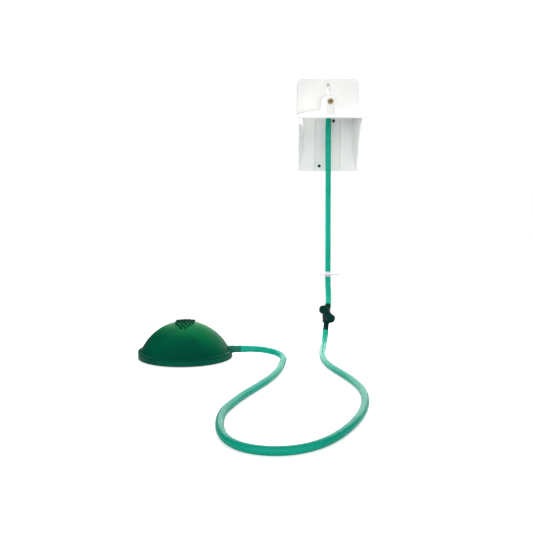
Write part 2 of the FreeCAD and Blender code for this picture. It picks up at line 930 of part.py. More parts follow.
def build_handle(placement):
    """The wing handle: two round lobes either side of a hub, in line with the port through the plug."""
    face = "-Dims.barrel_half - Dims.handle_gap"
    solids = [
        primitive(
            "Cylinder",
            "handle_hub",
            at=("0", face, "0"),
            turn=FORWARD,
            Radius="Dims.barrel_outer / 2 - 0.5",
            Height="Dims.handle_thick",
        )
    ]
    for name, side in (("up", 1), ("down", -1)):
        solids.append(
            primitive(
                "Cylinder",
                f"handle_lobe_{name}",
                at=("0", face, f"{side} * Dims.handle_span / 2"),
                turn=FORWARD,
                Radius="Dims.handle_lobe / 2",
                Height="Dims.handle_thick",
            )
        )
    solids.append(
        primitive(
            "Box",
            "handle_web",
            at=("-Dims.handle_lobe * 0.4", f"{face} - Dims.handle_thick", "-Dims.handle_span / 2"),
            Length="Dims.handle_lobe * 0.8",
            Width="Dims.handle_thick",
            Height="Dims.handle_span",
        )
    )
    seat = primitive(
        "Cylinder",
        "handle_seat",
        at=("0", "0", "0"),
        turn=FORWARD,
        Radius="Dims.plug_outer / 2",
        Height="Dims.barrel_half + Dims.handle_gap + 5",
    )
    keep("valve_handle", cut("valve_handle", fuse("handle_solid", solids), [seat]), placement)


# ---------------------------------------------------------------- spray head


def head_place():
    """The spray head stands on the floor, to the left of the bracket and out from the wall."""
    return FreeCAD.Placement(
        FreeCAD.Vector(-dim("head_left"), -dim("head_out"), -dim("floor_drop")), FreeCAD.Rotation()
    )


def cap(name, radius):
    """The part of a sphere over the flange's underside."""
    centre = ("0", "0", "Dims.flange_top - Dims.cap_sink")
    ball = primitive("Sphere", name + "_ball", at=centre, Radius=radius)
    box = primitive(
        "Box",
        name + "_box",
        at=("-100", "-100", "Dims.flange_top - Dims.flange_thick"),
        Length="200",
        Width="200",
        Height="100",
    )
    obj = doc.addObject("Part::MultiCommon", name)
    obj.Shapes = [ball, box]
    return obj


def nozzle_places():
    """The nozzles' places: staggered rows inside an oval that covers both eyes."""
    pitch, row = dim("nozzle_pitch"), dim("nozzle_row")
    wide, long = dim("spray_half_width"), dim("spray_half_length")
    places = []
    rows = int(long / row)
    for number in range(-rows, rows + 1):
        along = number * row
        shift = pitch / 2 if number % 2 else 0.0
        for column in range(-3, 4):
            across = column * pitch + shift
            if (across / wide) ** 2 + (along / long) ** 2 <= 1:
                places.append((across, along))
    return places


def surface_height(radius, across, along):
    """The height over the floor of a sphere about the dome's centre."""
    centre = dim("flange_top") - dim("cap_sink")
    return centre + math.sqrt(radius ** 2 - across ** 2 - along ** 2)


def build_dome():
    """The dome, a thin cap with a flange, pierced for the nozzles, and the rubber nozzle mat under it."""
    outer = cap("dome_outer", "Dims.cap_radius")
    inner = cap("dome_inner", "Dims.cap_radius - Dims.shell_thick")
    bottom = "Dims.flange_top - Dims.flange_thick"
    flange = primitive(
        "Cylinder",
        "dome_flange",
        at=("0", "0", bottom),
        Radius="Dims.flange_outer / 2",
        Height="Dims.flange_thick",
    )
    holes = [
        Part.makeCylinder(
            dim("nozzle_hole") / 2, 16, FreeCAD.Vector(x, y, surface_height(dim("cap_radius"), x, y) - 12)
        )
        for x, y in nozzle_places()
    ]
    pattern = doc.addObject("Part::Feature", "nozzle_holes")
    pattern.Shape = Part.makeCompound(holes)
    way = stub_tool("stub_hole", "Dims.stub_outer / 2 + 0.05", 60, 50)
    shell = cut("dome_blank", fuse("dome_solid", [outer, flange]), [inner])
    boss = stub_tool("stub_boss", "9.6", 73, 3.5)
    pierced = cut("dome_pierced", fuse("dome_bossed", [shell, boss]), [pattern])
    keep("dome_shell", cut("dome_shell", pierced, [way]), head_place())

    under = dim("cap_radius") - dim("shell_thick") - 0.05
    centre = FreeCAD.Vector(0, 0, dim("flange_top") - dim("cap_sink"))
    ball = Part.makeSphere(under, centre).cut(Part.makeSphere(under - dim("mat_thick"), centre))
    oval = oval_prism(dim("spray_half_width") + 5, dim("spray_half_length") + 5)
    mat = ball.common(oval)
    nubs = [
        Part.makeCone(
            dim("nozzle_outer") / 2,
            dim("nozzle_outer") / 2 * 0.72,
            surface_height(dim("cap_radius"), x, y) + dim("nozzle_proud") - surface_height(under - 0.8, x, y),
            FreeCAD.Vector(x, y, surface_height(under - 0.8, x, y)),
        )
        for x, y in nozzle_places()
    ]
    obj = doc.addObject("Part::Feature", "spray_nozzles")
    obj.Shape = mat.multiFuse(nubs)
    keep("spray_nozzles", obj, head_place())

    below = under - dim("mat_thick") - 0.05
    frame = Part.makeSphere(below, centre).cut(Part.makeSphere(below - 2.0, centre))
    rim = oval.cut(oval_prism(dim("spray_half_width") + 1, dim("spray_half_length") + 1))
    obj = doc.addObject("Part::Feature", "nozzle_retainer")
    obj.Shape = frame.common(rim)
    keep("nozzle_retainer", obj, head_place())


def oval_prism(half_width, half_length):
    """A tall upright prism on an ellipse."""
    curve = Part.Ellipse(
        FreeCAD.Vector(0, half_length, 20), FreeCAD.Vector(half_width, 0, 20), FreeCAD.Vector(0, 0, 20)
    )
    return Part.Face(Part.Wire(curve.toShape())).extrude(FreeCAD.Vector(0, 0, 80))


def stub_tool(name, radius, start, length):
    """A cylinder along the inlet stub's axis, from start outwards."""
    turn = FreeCAD.Rotation(FreeCAD.Vector(0, 0, 1), dim("stub_heading")).multiply(SIDEWAYS)
    heading = math.radians(dim("stub_heading"))
    at = (f"{start * math.cos(heading):.4f}", f"{start * math.sin(heading):.4f}", "Dims.stub_height")
    return primitive("Cylinder", name, at=at, turn=turn, Radius=radius, Height=str(length))


def build_base():
    """What closes the dome from below: ring, plate, gasket, screws and feet."""
    top = "Dims.flange_top - Dims.flange_thick"
    outer = "Dims.flange_outer / 2"
    ring = turned_blank(
        "base_ring_blank",
        [
            (f"{outer} - 12", "Dims.ring_foot + 4"),
            (f"{outer} - 3", "Dims.ring_foot + 4"),
            (f"{outer} - 3", "Dims.ring_foot"),
            (outer, "Dims.ring_foot"),
            (outer, f"{top} - 0.9"),
            (f"{outer} - 0.8", f"{top} - 0.1"),
            (f"{outer} - 12", f"{top} - 0.1"),
        ],
    )
    passage = stub_tool("ring_passage", "Dims.stub_outer / 2 + 0.2", 70, 40)
    screws = screw_places(base_radius(), 6)
    pilot = doc.addObject("Part::Feature", "ring_pilots")
    pilot.Shape = Part.makeCompound([Part.makeCylinder(1.3, 5, FreeCAD.Vector(x, y, 2)) for x, y in screws])
    keep("base_ring", cut("pierced_ring", ring, [passage, pilot]), head_place())

    plate_radius = "Dims.flange_outer / 2 - 3.3"
    plate_at = ("0", "0", "Dims.ring_foot + 0.6")
    plate = primitive("Cylinder", "plate_disc", at=plate_at, Radius=plate_radius, Height="2.6")
    holes = doc.addObject("Part::Feature", "plate_holes")
    holes.Shape = Part.makeCompound(
        [Part.makeCylinder(1.7, 6, FreeCAD.Vector(x, y, 0)) for x, y in screws]
        + [Part.makeCylinder(2.8, 1.9, FreeCAD.Vector(x, y, 0.9)) for x, y in screws]
    )
    keep("base_plate", cut("base_plate", plate, [holes]), head_place())

    turned(
        "base_gasket",
        [
            ("Dims.flange_outer / 2 - 11.5", "Dims.ring_foot + 3.25"),
            ("Dims.flange_outer / 2 - 9.3", "Dims.ring_foot + 3.25"),
            ("Dims.flange_outer / 2 - 9.3", "Dims.ring_foot + 3.95"),
            ("Dims.flange_outer / 2 - 11.5", "Dims.ring_foot + 3.95"),
        ],
        head_place(),
    )

    fasteners = []
    for x, y in screws:
        shank = Part.makeCylinder(1.3, 4.4, FreeCAD.Vector(x, y, 2.4))
        head = Part.makeCylinder(2.6, 1.5, FreeCAD.Vector(x, y, 1.2))
        slot = Part.makeBox(4.0, 0.8, 0.9, FreeCAD.Vector(x - 2.0, y - 0.4, 1.0))
        fasteners.append(head.fuse(shank).cut(slot))
    obj = doc.addObject("Part::Feature", "base_screws")
    obj.Shape = Part.makeCompound(fasteners)
    keep("base_screws", obj, head_place())

    places = screw_places(58.0, 4, 45.0)
    feet = [Part.makeCylinder(dim("foot_outer") / 2, 1.6, FreeCAD.Vector(x, y, 0)) for x, y in places]
    obj = doc.addObject("Part::Feature", "rubber_feet")
    obj.Shape = Part.makeCompound(feet)
    keep("rubber_feet", obj, head_place())


def base_radius():
    """The radius of the circle of base screws."""
    return dim("flange_outer") / 2 - 6.5


def screw_places(radius, count, offset=30.0):
    """Places evenly round a circle."""
    steps = [math.radians(offset + 360 * i / count) for i in range(count)]
    return [(radius * math.cos(a), radius * math.sin(a)) for a in steps]


def build_stub():
    """The inlet stub through the dome's wall, with its gasket inside and the nut that pulls it tight."""
    root = 62
    body = stub_tool("stub_body", "Dims.stub_outer / 2", root, dim("stub_reach") - root)
    bore = stub_tool("stub_bore", "Dims.waterway / 2", root - 10, 70)
    keep("head_inlet_stub", cut("head_inlet_stub", body, [bore]), head_place())
    for node, radius, start, length in (("stub_gasket", "9.6", 71.4, 1.5), ("stub_nut", "9.4", 65.3, 6.0)):
        ring = stub_tool(node + "_rod", radius, start, length)
        hole = stub_tool(node + "_hole", "Dims.stub_outer / 2 + 0.02", start - 1, length + 2)
        keep(node, cut(node, ring, [hole]), head_place())


build_bracket()
build_fixings()
build_inlet()
build_hoses()
build_stop_disc()
build_valve()
build_dome()
build_base()
build_stub()
doc.recompute()

for obj in doc.Objects:
    if "Invalid" in obj.State or "Error" in obj.State:
        raise RuntimeError(f"{obj.Label} failed: {obj.State}")
os.makedirs("parts", exist_ok=True)
for node, obj in parts.items():
    shape = obj.Shape
    if shape.isNull() or not shape.isValid() or not shape.Solids:
        raise RuntimeError(f"{node} has no valid solid")
    box = shape.BoundBox
    size = f"volume {shape.Volume:10.1f} z {box.ZMin:8.1f} {box.ZMax:8.1f}"
    print(f"{node:20} solids {len(shape.Solids)} {size}")
    shape.exportStep(f"parts/{node}.step")
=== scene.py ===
"""An eyewash station: a green drench head on a green hose, hung from a white wall bracket.

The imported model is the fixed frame, in metres: +Z up, the wall is the plane Y = 0, the room is at
negative Y, and the origin is the centre of the bracket's back face. Each sub-assembly below is a
class that builds its meshes as worked-out surfaces and dresses them in its own finishes.
"""

from __future__ import annotations

import json
import logging
import math
from dataclasses import dataclass, field
from enum import Enum

import bpy
import numpy as np
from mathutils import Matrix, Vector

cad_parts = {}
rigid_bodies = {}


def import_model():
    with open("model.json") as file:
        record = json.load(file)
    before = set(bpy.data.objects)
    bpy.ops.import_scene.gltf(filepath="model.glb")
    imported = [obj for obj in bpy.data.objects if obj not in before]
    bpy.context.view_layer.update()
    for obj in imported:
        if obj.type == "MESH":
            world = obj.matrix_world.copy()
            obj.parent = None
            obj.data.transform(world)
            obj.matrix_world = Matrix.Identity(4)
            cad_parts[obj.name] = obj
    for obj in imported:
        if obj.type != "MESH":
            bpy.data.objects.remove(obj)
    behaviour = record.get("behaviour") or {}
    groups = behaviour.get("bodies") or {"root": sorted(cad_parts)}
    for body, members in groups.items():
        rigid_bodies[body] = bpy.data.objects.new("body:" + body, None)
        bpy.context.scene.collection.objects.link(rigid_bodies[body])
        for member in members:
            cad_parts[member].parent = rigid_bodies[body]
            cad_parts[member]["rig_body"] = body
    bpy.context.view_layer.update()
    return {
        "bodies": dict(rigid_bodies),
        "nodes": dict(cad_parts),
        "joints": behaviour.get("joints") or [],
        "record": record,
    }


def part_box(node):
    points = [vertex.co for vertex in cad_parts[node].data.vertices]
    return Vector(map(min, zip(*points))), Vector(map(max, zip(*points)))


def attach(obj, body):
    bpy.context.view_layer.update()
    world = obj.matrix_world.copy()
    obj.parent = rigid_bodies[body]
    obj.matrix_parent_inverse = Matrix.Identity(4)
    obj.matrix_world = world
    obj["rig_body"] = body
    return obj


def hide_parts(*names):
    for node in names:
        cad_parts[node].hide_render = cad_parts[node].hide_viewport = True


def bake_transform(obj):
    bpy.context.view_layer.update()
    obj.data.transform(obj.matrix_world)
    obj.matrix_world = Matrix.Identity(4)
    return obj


MM = 0.001
TAU = 2.0 * math.pi
Array = np.ndarray
Colour = tuple[float, float, float]
log = logging.getLogger("eyewash_station")


class Slot(Enum):
    """The record's material slots."""

    BRACKET = "bracket_white"
    SCREW_STEEL = "screw_steel"
    SCREW_BLACK = "screw_black"
    BRASS = "brass"
    RUBBER = "seal_rubber"
    FITTING = "fitting_white"
    HOSE = "hose_green"
    DISC = "disc_white"
    VALVE = "valve_green"
    DOME = "dome_green"
    NOZZLE = "nozzle_rubber"


# ------------------------------------------------------------------ surfaces


@dataclass
class Shell:
    """A closed surface: points (n, 3), quads (m, 4) and, where a pattern follows it, a UV per corner."""

    points: Array
    quads: Array
    uv: Array | None = None

    def moved(self, frame: Array) -> Shell:
        """The shell carried into a 4 x 4 frame."""
        return Shell(self.points @ frame[:3, :3].T + frame[:3, 3], self.quads, self.uv)

    def outward(self) -> Shell:
        """The shell with its faces turned outwards, told by the sign of its volume."""
        a, b, c, d = (self.points[self.quads[:, i]] for i in range(4))
        volume = np.einsum("ij,ij->", a, np.cross(b, c)) + np.einsum("ij,ij->", a, np.cross(c, d))
        if volume > 0:
            return self
        uv = None if self.uv is None else self.uv.reshape(-1, 4, 2)[:, ::-1].reshape(-1, 2)
        return Shell(self.points, self.quads[:, ::-1], uv)


def frame_at(place: Array, up: Array, side: Array = (1.0, 0.0, 0.0)) -> Array:
    """A 4 x 4 frame at a place, with +Z along up and +X as near to side as it can be.

    Args:
        place: The frame's origin.
        up: Its +Z direction, of any length.
        side: A direction that its +X leans towards.

    Returns:
        The frame as a matrix.
    """
    z = np.asarray(up, float) / np.linalg.norm(up)
    x = np.asarray(side, float) - z * np.dot(side, z)
    x /= np.linalg.norm(x)
    frame = np.eye(4)
    frame[:3, :3] = np.stack([x, np.cross(z, x), z], 1)
    frame[:3, 3] = place
    return frame


def grid_quads(rows: int, columns: int, wrap_rows: bool = False, wrap_columns: bool = False) -> Array:
    """The quads of a grid of points, row by row, joined round on itself where it wraps."""
    r = np.arange(rows if wrap_rows else rows - 1)
    c = np.arange(columns if wrap_columns else columns - 1)
    i, j = np.meshgrid(r, c, indexing="ij")
    below, beside = (i + 1) % rows, (j + 1) % columns
    corners = [i * columns + j, i * columns + beside, below * columns + beside, below * columns + j]
    return np.stack(corners, -1).reshape(-1, 4)


def loft(loops: Array) -> Shell:
    """Closed loops (rows, columns, 3) joined in order, each end drawn in to its loop's centre."""
    rows, columns, _ = loops.shape
    ends = [np.repeat(loops[k].mean(0)[None, None], columns, 1) for k in (0, -1)]
    full = np.concatenate([ends[0], loops, ends[1]])
    return Shell(full.reshape(-1, 3), grid_quads(rows + 2, columns, False, True)).outward()


def slab(top: Array, bottom: Array) -> Shell:
    """The solid between two grids of the same shape (rows, columns, 3)."""
    rows, columns, _ = top.shape
    loops = np.concatenate([top, bottom[:, ::-1]], 1)
    wide = 2 * columns
    j = np.arange(columns - 1)
    near = np.stack([j, j + 1, wide - 2 - j, wide - 1 - j], -1)
    far = near[:, ::-1] + (rows - 1) * wide
    quads = np.concatenate([grid_quads(rows, wide, False, True), near[:, ::-1], far[:, ::-1]])
    return Shell(loops.reshape(-1, 3), quads).outward()


def block(low: Array, high: Array) -> Shell:
    """A plain box between two corners, used only to cut with."""
    x, y = np.meshgrid([low[0], high[0]], [low[1], high[1]], indexing="ij")
    return slab(np.stack([x, y, x * 0 + high[2]], -1), np.stack([x, y, x * 0 + low[2]], -1))


def rounded(corners: list[tuple[float, float, float]], ring: bool = True, steps: int = 4) -> Array:
    """A polyline in a plane whose corners are turned into short curves.

    Each corner is (across, up, round). It becomes the quadratic curve that leaves one side at the
    distance round before the corner and joins the next side as far after it.

    Args:
        corners: The corners in order, in millimetres.
        ring: Whether the line closes on itself; an open line keeps its two ends.
        steps: How many pieces each curve has.

    Returns:
        The points (n, 2), in metres.
    """
    data = np.array(corners, float) * MM
    t = np.linspace(0.0, 1.0, steps + 1)[:, None]
    line = []
    for k, (*place, cut) in enumerate(data):
        here = np.array(place)
        if cut <= 0 or (not ring and k in (0, len(data) - 1)):
            line.append(here[None])
            continue
        sides = [data[(k + s) % len(data), :2] - here for s in (-1, 1)]
        lengths = [np.linalg.norm(side) for side in sides]
        cut = min(cut, 0.48 * min(lengths))
        start, end = (here + side / length * cut for side, length in zip(sides, lengths))
        line.append((1 - t) ** 2 * start + 2 * t * (1 - t) * here + t**2 * end)
    return np.concatenate(line)


def lathe(profile: Array, frame: Array | None = None, ring: bool = False, segments: int = 72,
          flutes: tuple[int, float, float, float] | None = None) -> Shell:
    """A profile (radius, height) turned about +Z.

    Args:
        profile: The points (n, 2); an open profile starts and ends on the axis.
        frame: Where the turned shape stands.
        ring: Whether the profile closes on itself.
        segments: How many steps one turn has.
        flutes: (count, depth, low, high): the radius between two heights waves in by depth, count
            times round.

    Returns:
        The closed shell.
    """
    radius, height = np.asarray(profile, float).T
    turn = np.linspace(0.0, TAU, segments, endpoint=False)
    r = np.repeat(radius[:, None], segments, 1)
    if flutes:
        count, depth, low, high = flutes
        inside = (height > low) & (height < high)
        r -= inside[:, None] * depth * (0.5 - 0.5 * np.cos(count * turn))[None]
    z = np.repeat(height[:, None], segments, 1)
    points = np.stack([r * np.cos(turn), r * np.sin(turn), z], -1)
    shell = Shell(points.reshape(-1, 3), grid_quads(len(radius), segments, ring, True))
    return shell.moved(np.eye(4) if frame is None else frame).outward()


def cushion(outline: Array, profile: Array, frame: Array) -> Shell:
    """An outline (n, 2) carried up a profile (inset, height), each level drawn in along the outline's normals."""
    ahead = np.roll(outline, -1, 0) - np.roll(outline, 1, 0)
    normal = np.stack([ahead[:, 1], -ahead[:, 0]], 1) / np.linalg.norm(ahead, axis=1)[:, None]
    flat = outline[None] - profile[:, 0][:, None, None] * normal[None]
    up = np.repeat(profile[:, 1][:, None], len(outline), 1)[..., None]
    return loft(np.concatenate([flat, up], -1)).moved(frame).outward()


def eased(x: Array, stations: list[float], values: list[float]) -> Array:
    """A smooth curve through values at stations: a cubic on each interval whose end slopes are the
    mean of the slopes either side, so that it has no kink."""
    s, v = np.array(stations, float), np.array(values, float)
    slope = np.diff(v) / np.diff(s)
    ends = np.concatenate([[slope[0]], (slope[1:] + slope[:-1]) / 2, [slope[-1]]])
    k = np.clip(np.searchsorted(s, x) - 1, 0, len(s) - 2)
    width = s[k + 1] - s[k]
    t = np.clip((x - s[k]) / width, 0, 1)
    return (
        (2 * t**3 - 3 * t**2 + 1) * v[k]
        + (t**3 - 2 * t**2 + t) * width * ends[k]
        + (-2 * t**3 + 3 * t**2) * v[k + 1]
        + (t**3 - t**2) * width * ends[k + 1]
    )


def tube(path: Array, outer: Array, bore: float, segments: int = 40) -> Shell:
    """A hose along a path: rings square to the path, outside and in the bore, closed at both ends.

    The rings' frame is carried along without twist: each normal is the last one, made square to the
    new direction. The UV runs once round the hose and in metres along it.

    Args:
        path: The centreline's points (n, 3).
        outer: The outside radius at each of them.
        bore: The bore's radius.
        segments: How many points each ring has.

    Returns:
        The closed shell.
    """
    way = np.gradient(path, axis=0)
    way /= np.linalg.norm(way, axis=1)[:, None]
    normal = np.zeros_like(path)
    last = np.array([1.0, 0.0, 0.0])
    for k, direction in enumerate(way):
        last = last - direction * np.dot(last, direction)
        last /= np.linalg.norm(last)
        normal[k] = last
    side = np.cross(way, normal)
    turn = np.linspace(0.0, TAU, segments, endpoint=False)
    wheel = normal[:, None] * np.cos(turn)[None, :, None] + side[:, None] * np.sin(turn)[None, :, None]
    skins = [path[:, None] + wheel * outer[:, None, None], path[:, None] + wheel * bore]
    rows = np.concatenate([skins[0], skins[1][::-1]])
    quads = grid_quads(len(rows), segments, True, True)
    along = np.concatenate([[0], np.cumsum(np.linalg.norm(np.diff(path, axis=0), axis=1))])
    along = np.concatenate([along, along[::-1]])
    i, j = np.meshgrid(np.arange(len(rows)), np.arange(segments), indexing="ij")
    after = along[(i + 1) % len(rows)]
    u = np.stack([j, j + 1, j + 1, j], -1) / segments
    v = np.stack([along[i], along[i], after, after], -1)
    return Shell(rows.reshape(-1, 3), quads, np.stack([u, v], -1).reshape(-1, 2)).outward()


# ------------------------------------------------------------------ pieces


def raw_object(name: str, shells: list[Shell]) -> bpy.types.Object:
    """A mesh object at the origin from one or more shells, with its poles welded."""
    counts = np.cumsum([0] + [len(s.points) for s in shells])
    points = np.concatenate([s.points for s in shells])
    quads = np.concatenate([s.quads + start for s, start in zip(shells, counts)])
    mesh = bpy.data.meshes.new(name)
    mesh.from_pydata(points.tolist(), [], quads.tolist())
    if shells[0].uv is not None:
        layer = mesh.uv_layers.new(name="along_hose")
        layer.data.foreach_set("uv", np.concatenate([s.uv for s in shells]).astype(np.float32).ravel())
    obj = bpy.data.objects.new(name, mesh)
    bpy.context.scene.collection.objects.link(obj)
    weld = obj.modifiers.new("weld", "WELD")
    weld.merge_threshold = 1e-7
    return settle(obj)


def settle(obj: bpy.types.Object) -> bpy.types.Object:
    """Apply every modifier on an object."""
    graph = bpy.context.evaluated_depsgraph_get()
    graph.update()
    mesh = bpy.data.meshes.new_from_object(obj.evaluated_get(graph))
    old = obj.data
    obj.modifiers.clear()
    obj.data = mesh
    mesh.name = obj.name
    bpy.data.meshes.remove(old)
    return obj


def combine(obj: bpy.types.Object, shells: list[Shell], operation: str = "DIFFERENCE") -> bpy.types.Object:
    """Cut shells out of an object, or join them to it, one after the other."""
    for shell in shells:
        tool = raw_object(obj.name + "_tool", [shell])
        step = obj.modifiers.new("step", "BOOLEAN")
        step.operation, step.solver, step.object = operation, "EXACT", tool
        settle(obj)
        bpy.data.objects.remove(tool)
    return obj


def moulded(obj: bpy.types.Object, voxel: float, rounds: int) -> bpy.types.Object:
    """Melt an object's shells into one skin, with every edge and inside corner softened."""
    skin = obj.modifiers.new("skin", "REMESH")
    skin.mode, skin.voxel_size, skin.use_smooth_shade = "VOXEL", voxel, True
    soften = obj.modifiers.new("soften", "SMOOTH")
    soften.factor, soften.iterations = 0.5, rounds
    return settle(obj)


def dress(obj: bpy.types.Object, finish: Finish, body: str, nodes: tuple[str, ...] = (),
          crease: float = 40.0) -> bpy.types.Object:
    """Shade a piece, give it its finish, let it ride on its body and stand for its CAD nodes.

    Args:
        obj: The finished mesh.
        finish: What it is made of.
        body: The CAD body that it moves with.
        nodes: The CAD nodes that it replaces.
        crease: Edges sharper than this many degrees stay crisp.

    Returns:
        The piece.
    """
    mesh = obj.data
    mesh.polygons.foreach_set("use_smooth", np.ones(len(mesh.polygons), bool))
    mesh.set_sharp_from_angle(angle=math.radians(crease))
    mesh.materials.clear()
    mesh.materials.append(finish.material())
    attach(obj, body)
    if nodes:
        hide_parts(*nodes)
    log.info("%s: %d faces on %s", obj.name, len(mesh.polygons), body)
    return obj


def keep_nodes(finish: Finish, nodes: list[str]) -> None:
    """Give CAD nodes that stay as they are their finish."""
    for node in nodes:
        obj = bpy.data.objects[node]
        obj.data.materials.clear()
        obj.data.materials.append(finish.material())
        log.info("%s: kept from the frame", node)


# ------------------------------------------------------------------ finishes


class Bench:
    """A node tree with short ways to add and join nodes."""

    def __init__(self, tree: bpy.types.NodeTree) -> None:
        """Take an empty tree."""
        self.tree = tree

    def add(self, kind: str, inputs: dict | None = None, **settings: object) -> bpy.types.Node:
        """A node of a kind; an input is given a value, or a socket to join it to."""
        node = self.tree.nodes.new(kind)
        for key, value in settings.items():
            setattr(node, key, value)
        for key, value in (inputs or {}).items():
            if isinstance(value, bpy.types.NodeSocket):
                self.tree.links.new(value, node.inputs[key])
            else:
                node.inputs[key].default_value = value
        return node

    def calc(self, operation: str, a: object, b: object = 0.0) -> bpy.types.NodeSocket:
        """A Math node's result."""
        return self.add("ShaderNodeMath", {0: a, 1: b}, operation=operation).outputs[0]

    def spread(self, value: object, low: float, high: float, to_low: float, to_high: float) -> bpy.types.NodeSocket:
        """A value carried smoothly from one range into another."""
        ends = {"Value": value, "From Min": low, "From Max": high, "To Min": to_low, "To Max": to_high}
        return self.add("ShaderNodeMapRange", ends, interpolation_type="SMOOTHSTEP").outputs["Result"]

    def blend(self, factor: object, a: object, b: object) -> bpy.types.NodeSocket:
        """A colour between two."""
        node = self.add("ShaderNodeMix", data_type="RGBA")
        for socket, value in ((node.inputs[0], factor), (node.inputs[6], a), (node.inputs[7], b)):
            if isinstance(value, bpy.types.NodeSocket):
                self.tree.links.new(value, socket)
            else:
                socket.default_value = (*value, 1.0) if isinstance(value, tuple) else value
        return node.outputs[2]


def shared_group(name: str, inputs: list[str], outputs: list[str]) -> tuple[Bench, dict, bpy.types.Node]:
    """A new shader node group with named float inputs, after a Vector, and named float outputs."""
    tree = bpy.data.node_groups.new(name, "ShaderNodeTree")
    tree.interface.new_socket("Vector", in_out="INPUT", socket_type="NodeSocketVector")
    for label in inputs:
        tree.interface.new_socket(label, in_out="INPUT", socket_type="NodeSocketFloat")
    for label in outputs:
        tree.interface.new_socket(label, in_out="OUTPUT", socket_type="NodeSocketFloat")
    bench = Bench(tree)
    source = bench.add("NodeGroupInput").outputs
    return bench, source, bench.add("NodeGroupOutput")


def grain_group() -> bpy.types.NodeTree:
    """The moulding's surface: a fine height, and slow patches from 0 to 1."""
    if "moulding_grain" in bpy.data.node_groups:
        return bpy.data.node_groups["moulding_grain"]
    bench, given, result = shared_group("moulding_grain", ["Grain", "Patches"], ["Height", "Patch"])
    fine = bench.add("ShaderNodeTexNoise", {"Vector": given["Vector"], "Scale": given["Grain"], "Detail": 4.0})
    slow = bench.add("ShaderNodeTexNoise", {"Vector": given["Vector"], "Scale": given["Patches"], "Detail": 3.0})
    bench.tree.links.new(fine.outputs["Fac"], result.inputs["Height"])
    bench.tree.links.new(bench.spread(slow.outputs["Fac"], 0.35, 0.65, 0.0, 1.0), result.inputs["Patch"])
    return bench.tree


def scuff_group() -> bpy.types.NodeTree:
    """Handling marks: thin stretched scratches inside rubbed patches, as a mask."""
    if "handling_scuffs" in bpy.data.node_groups:
        return bpy.data.node_groups["handling_scuffs"]
    bench, given, result = shared_group("handling_scuffs", ["Scale", "Amount"], ["Mask"])
    turned = bench.add(
        "ShaderNodeMapping", {"Vector": given["Vector"], "Rotation": (0.5, 0.9, 0.4), "Scale": (1.0, 9.0, 1.6)}
    )
    lines = bench.add(
        "ShaderNodeTexNoise",
        {"Vector": turned.outputs[0], "Scale": given["Scale"], "Detail": 5.0, "Roughness": 0.7},
    )
    rubbed = bench.add("ShaderNodeTexNoise", {"Vector": given["Vector"], "Scale": 22.0, "Detail": 2.0})
    thin = bench.spread(lines.outputs["Fac"], 0.62, 0.72, 0.0, 1.0)
    where = bench.spread(rubbed.outputs["Fac"], 0.48, 0.62, 0.0, 1.0)
    mask = bench.calc("MULTIPLY", bench.calc("MULTIPLY", thin, where), given["Amount"])
    bench.tree.links.new(mask, result.inputs["Mask"])
    return bench.tree


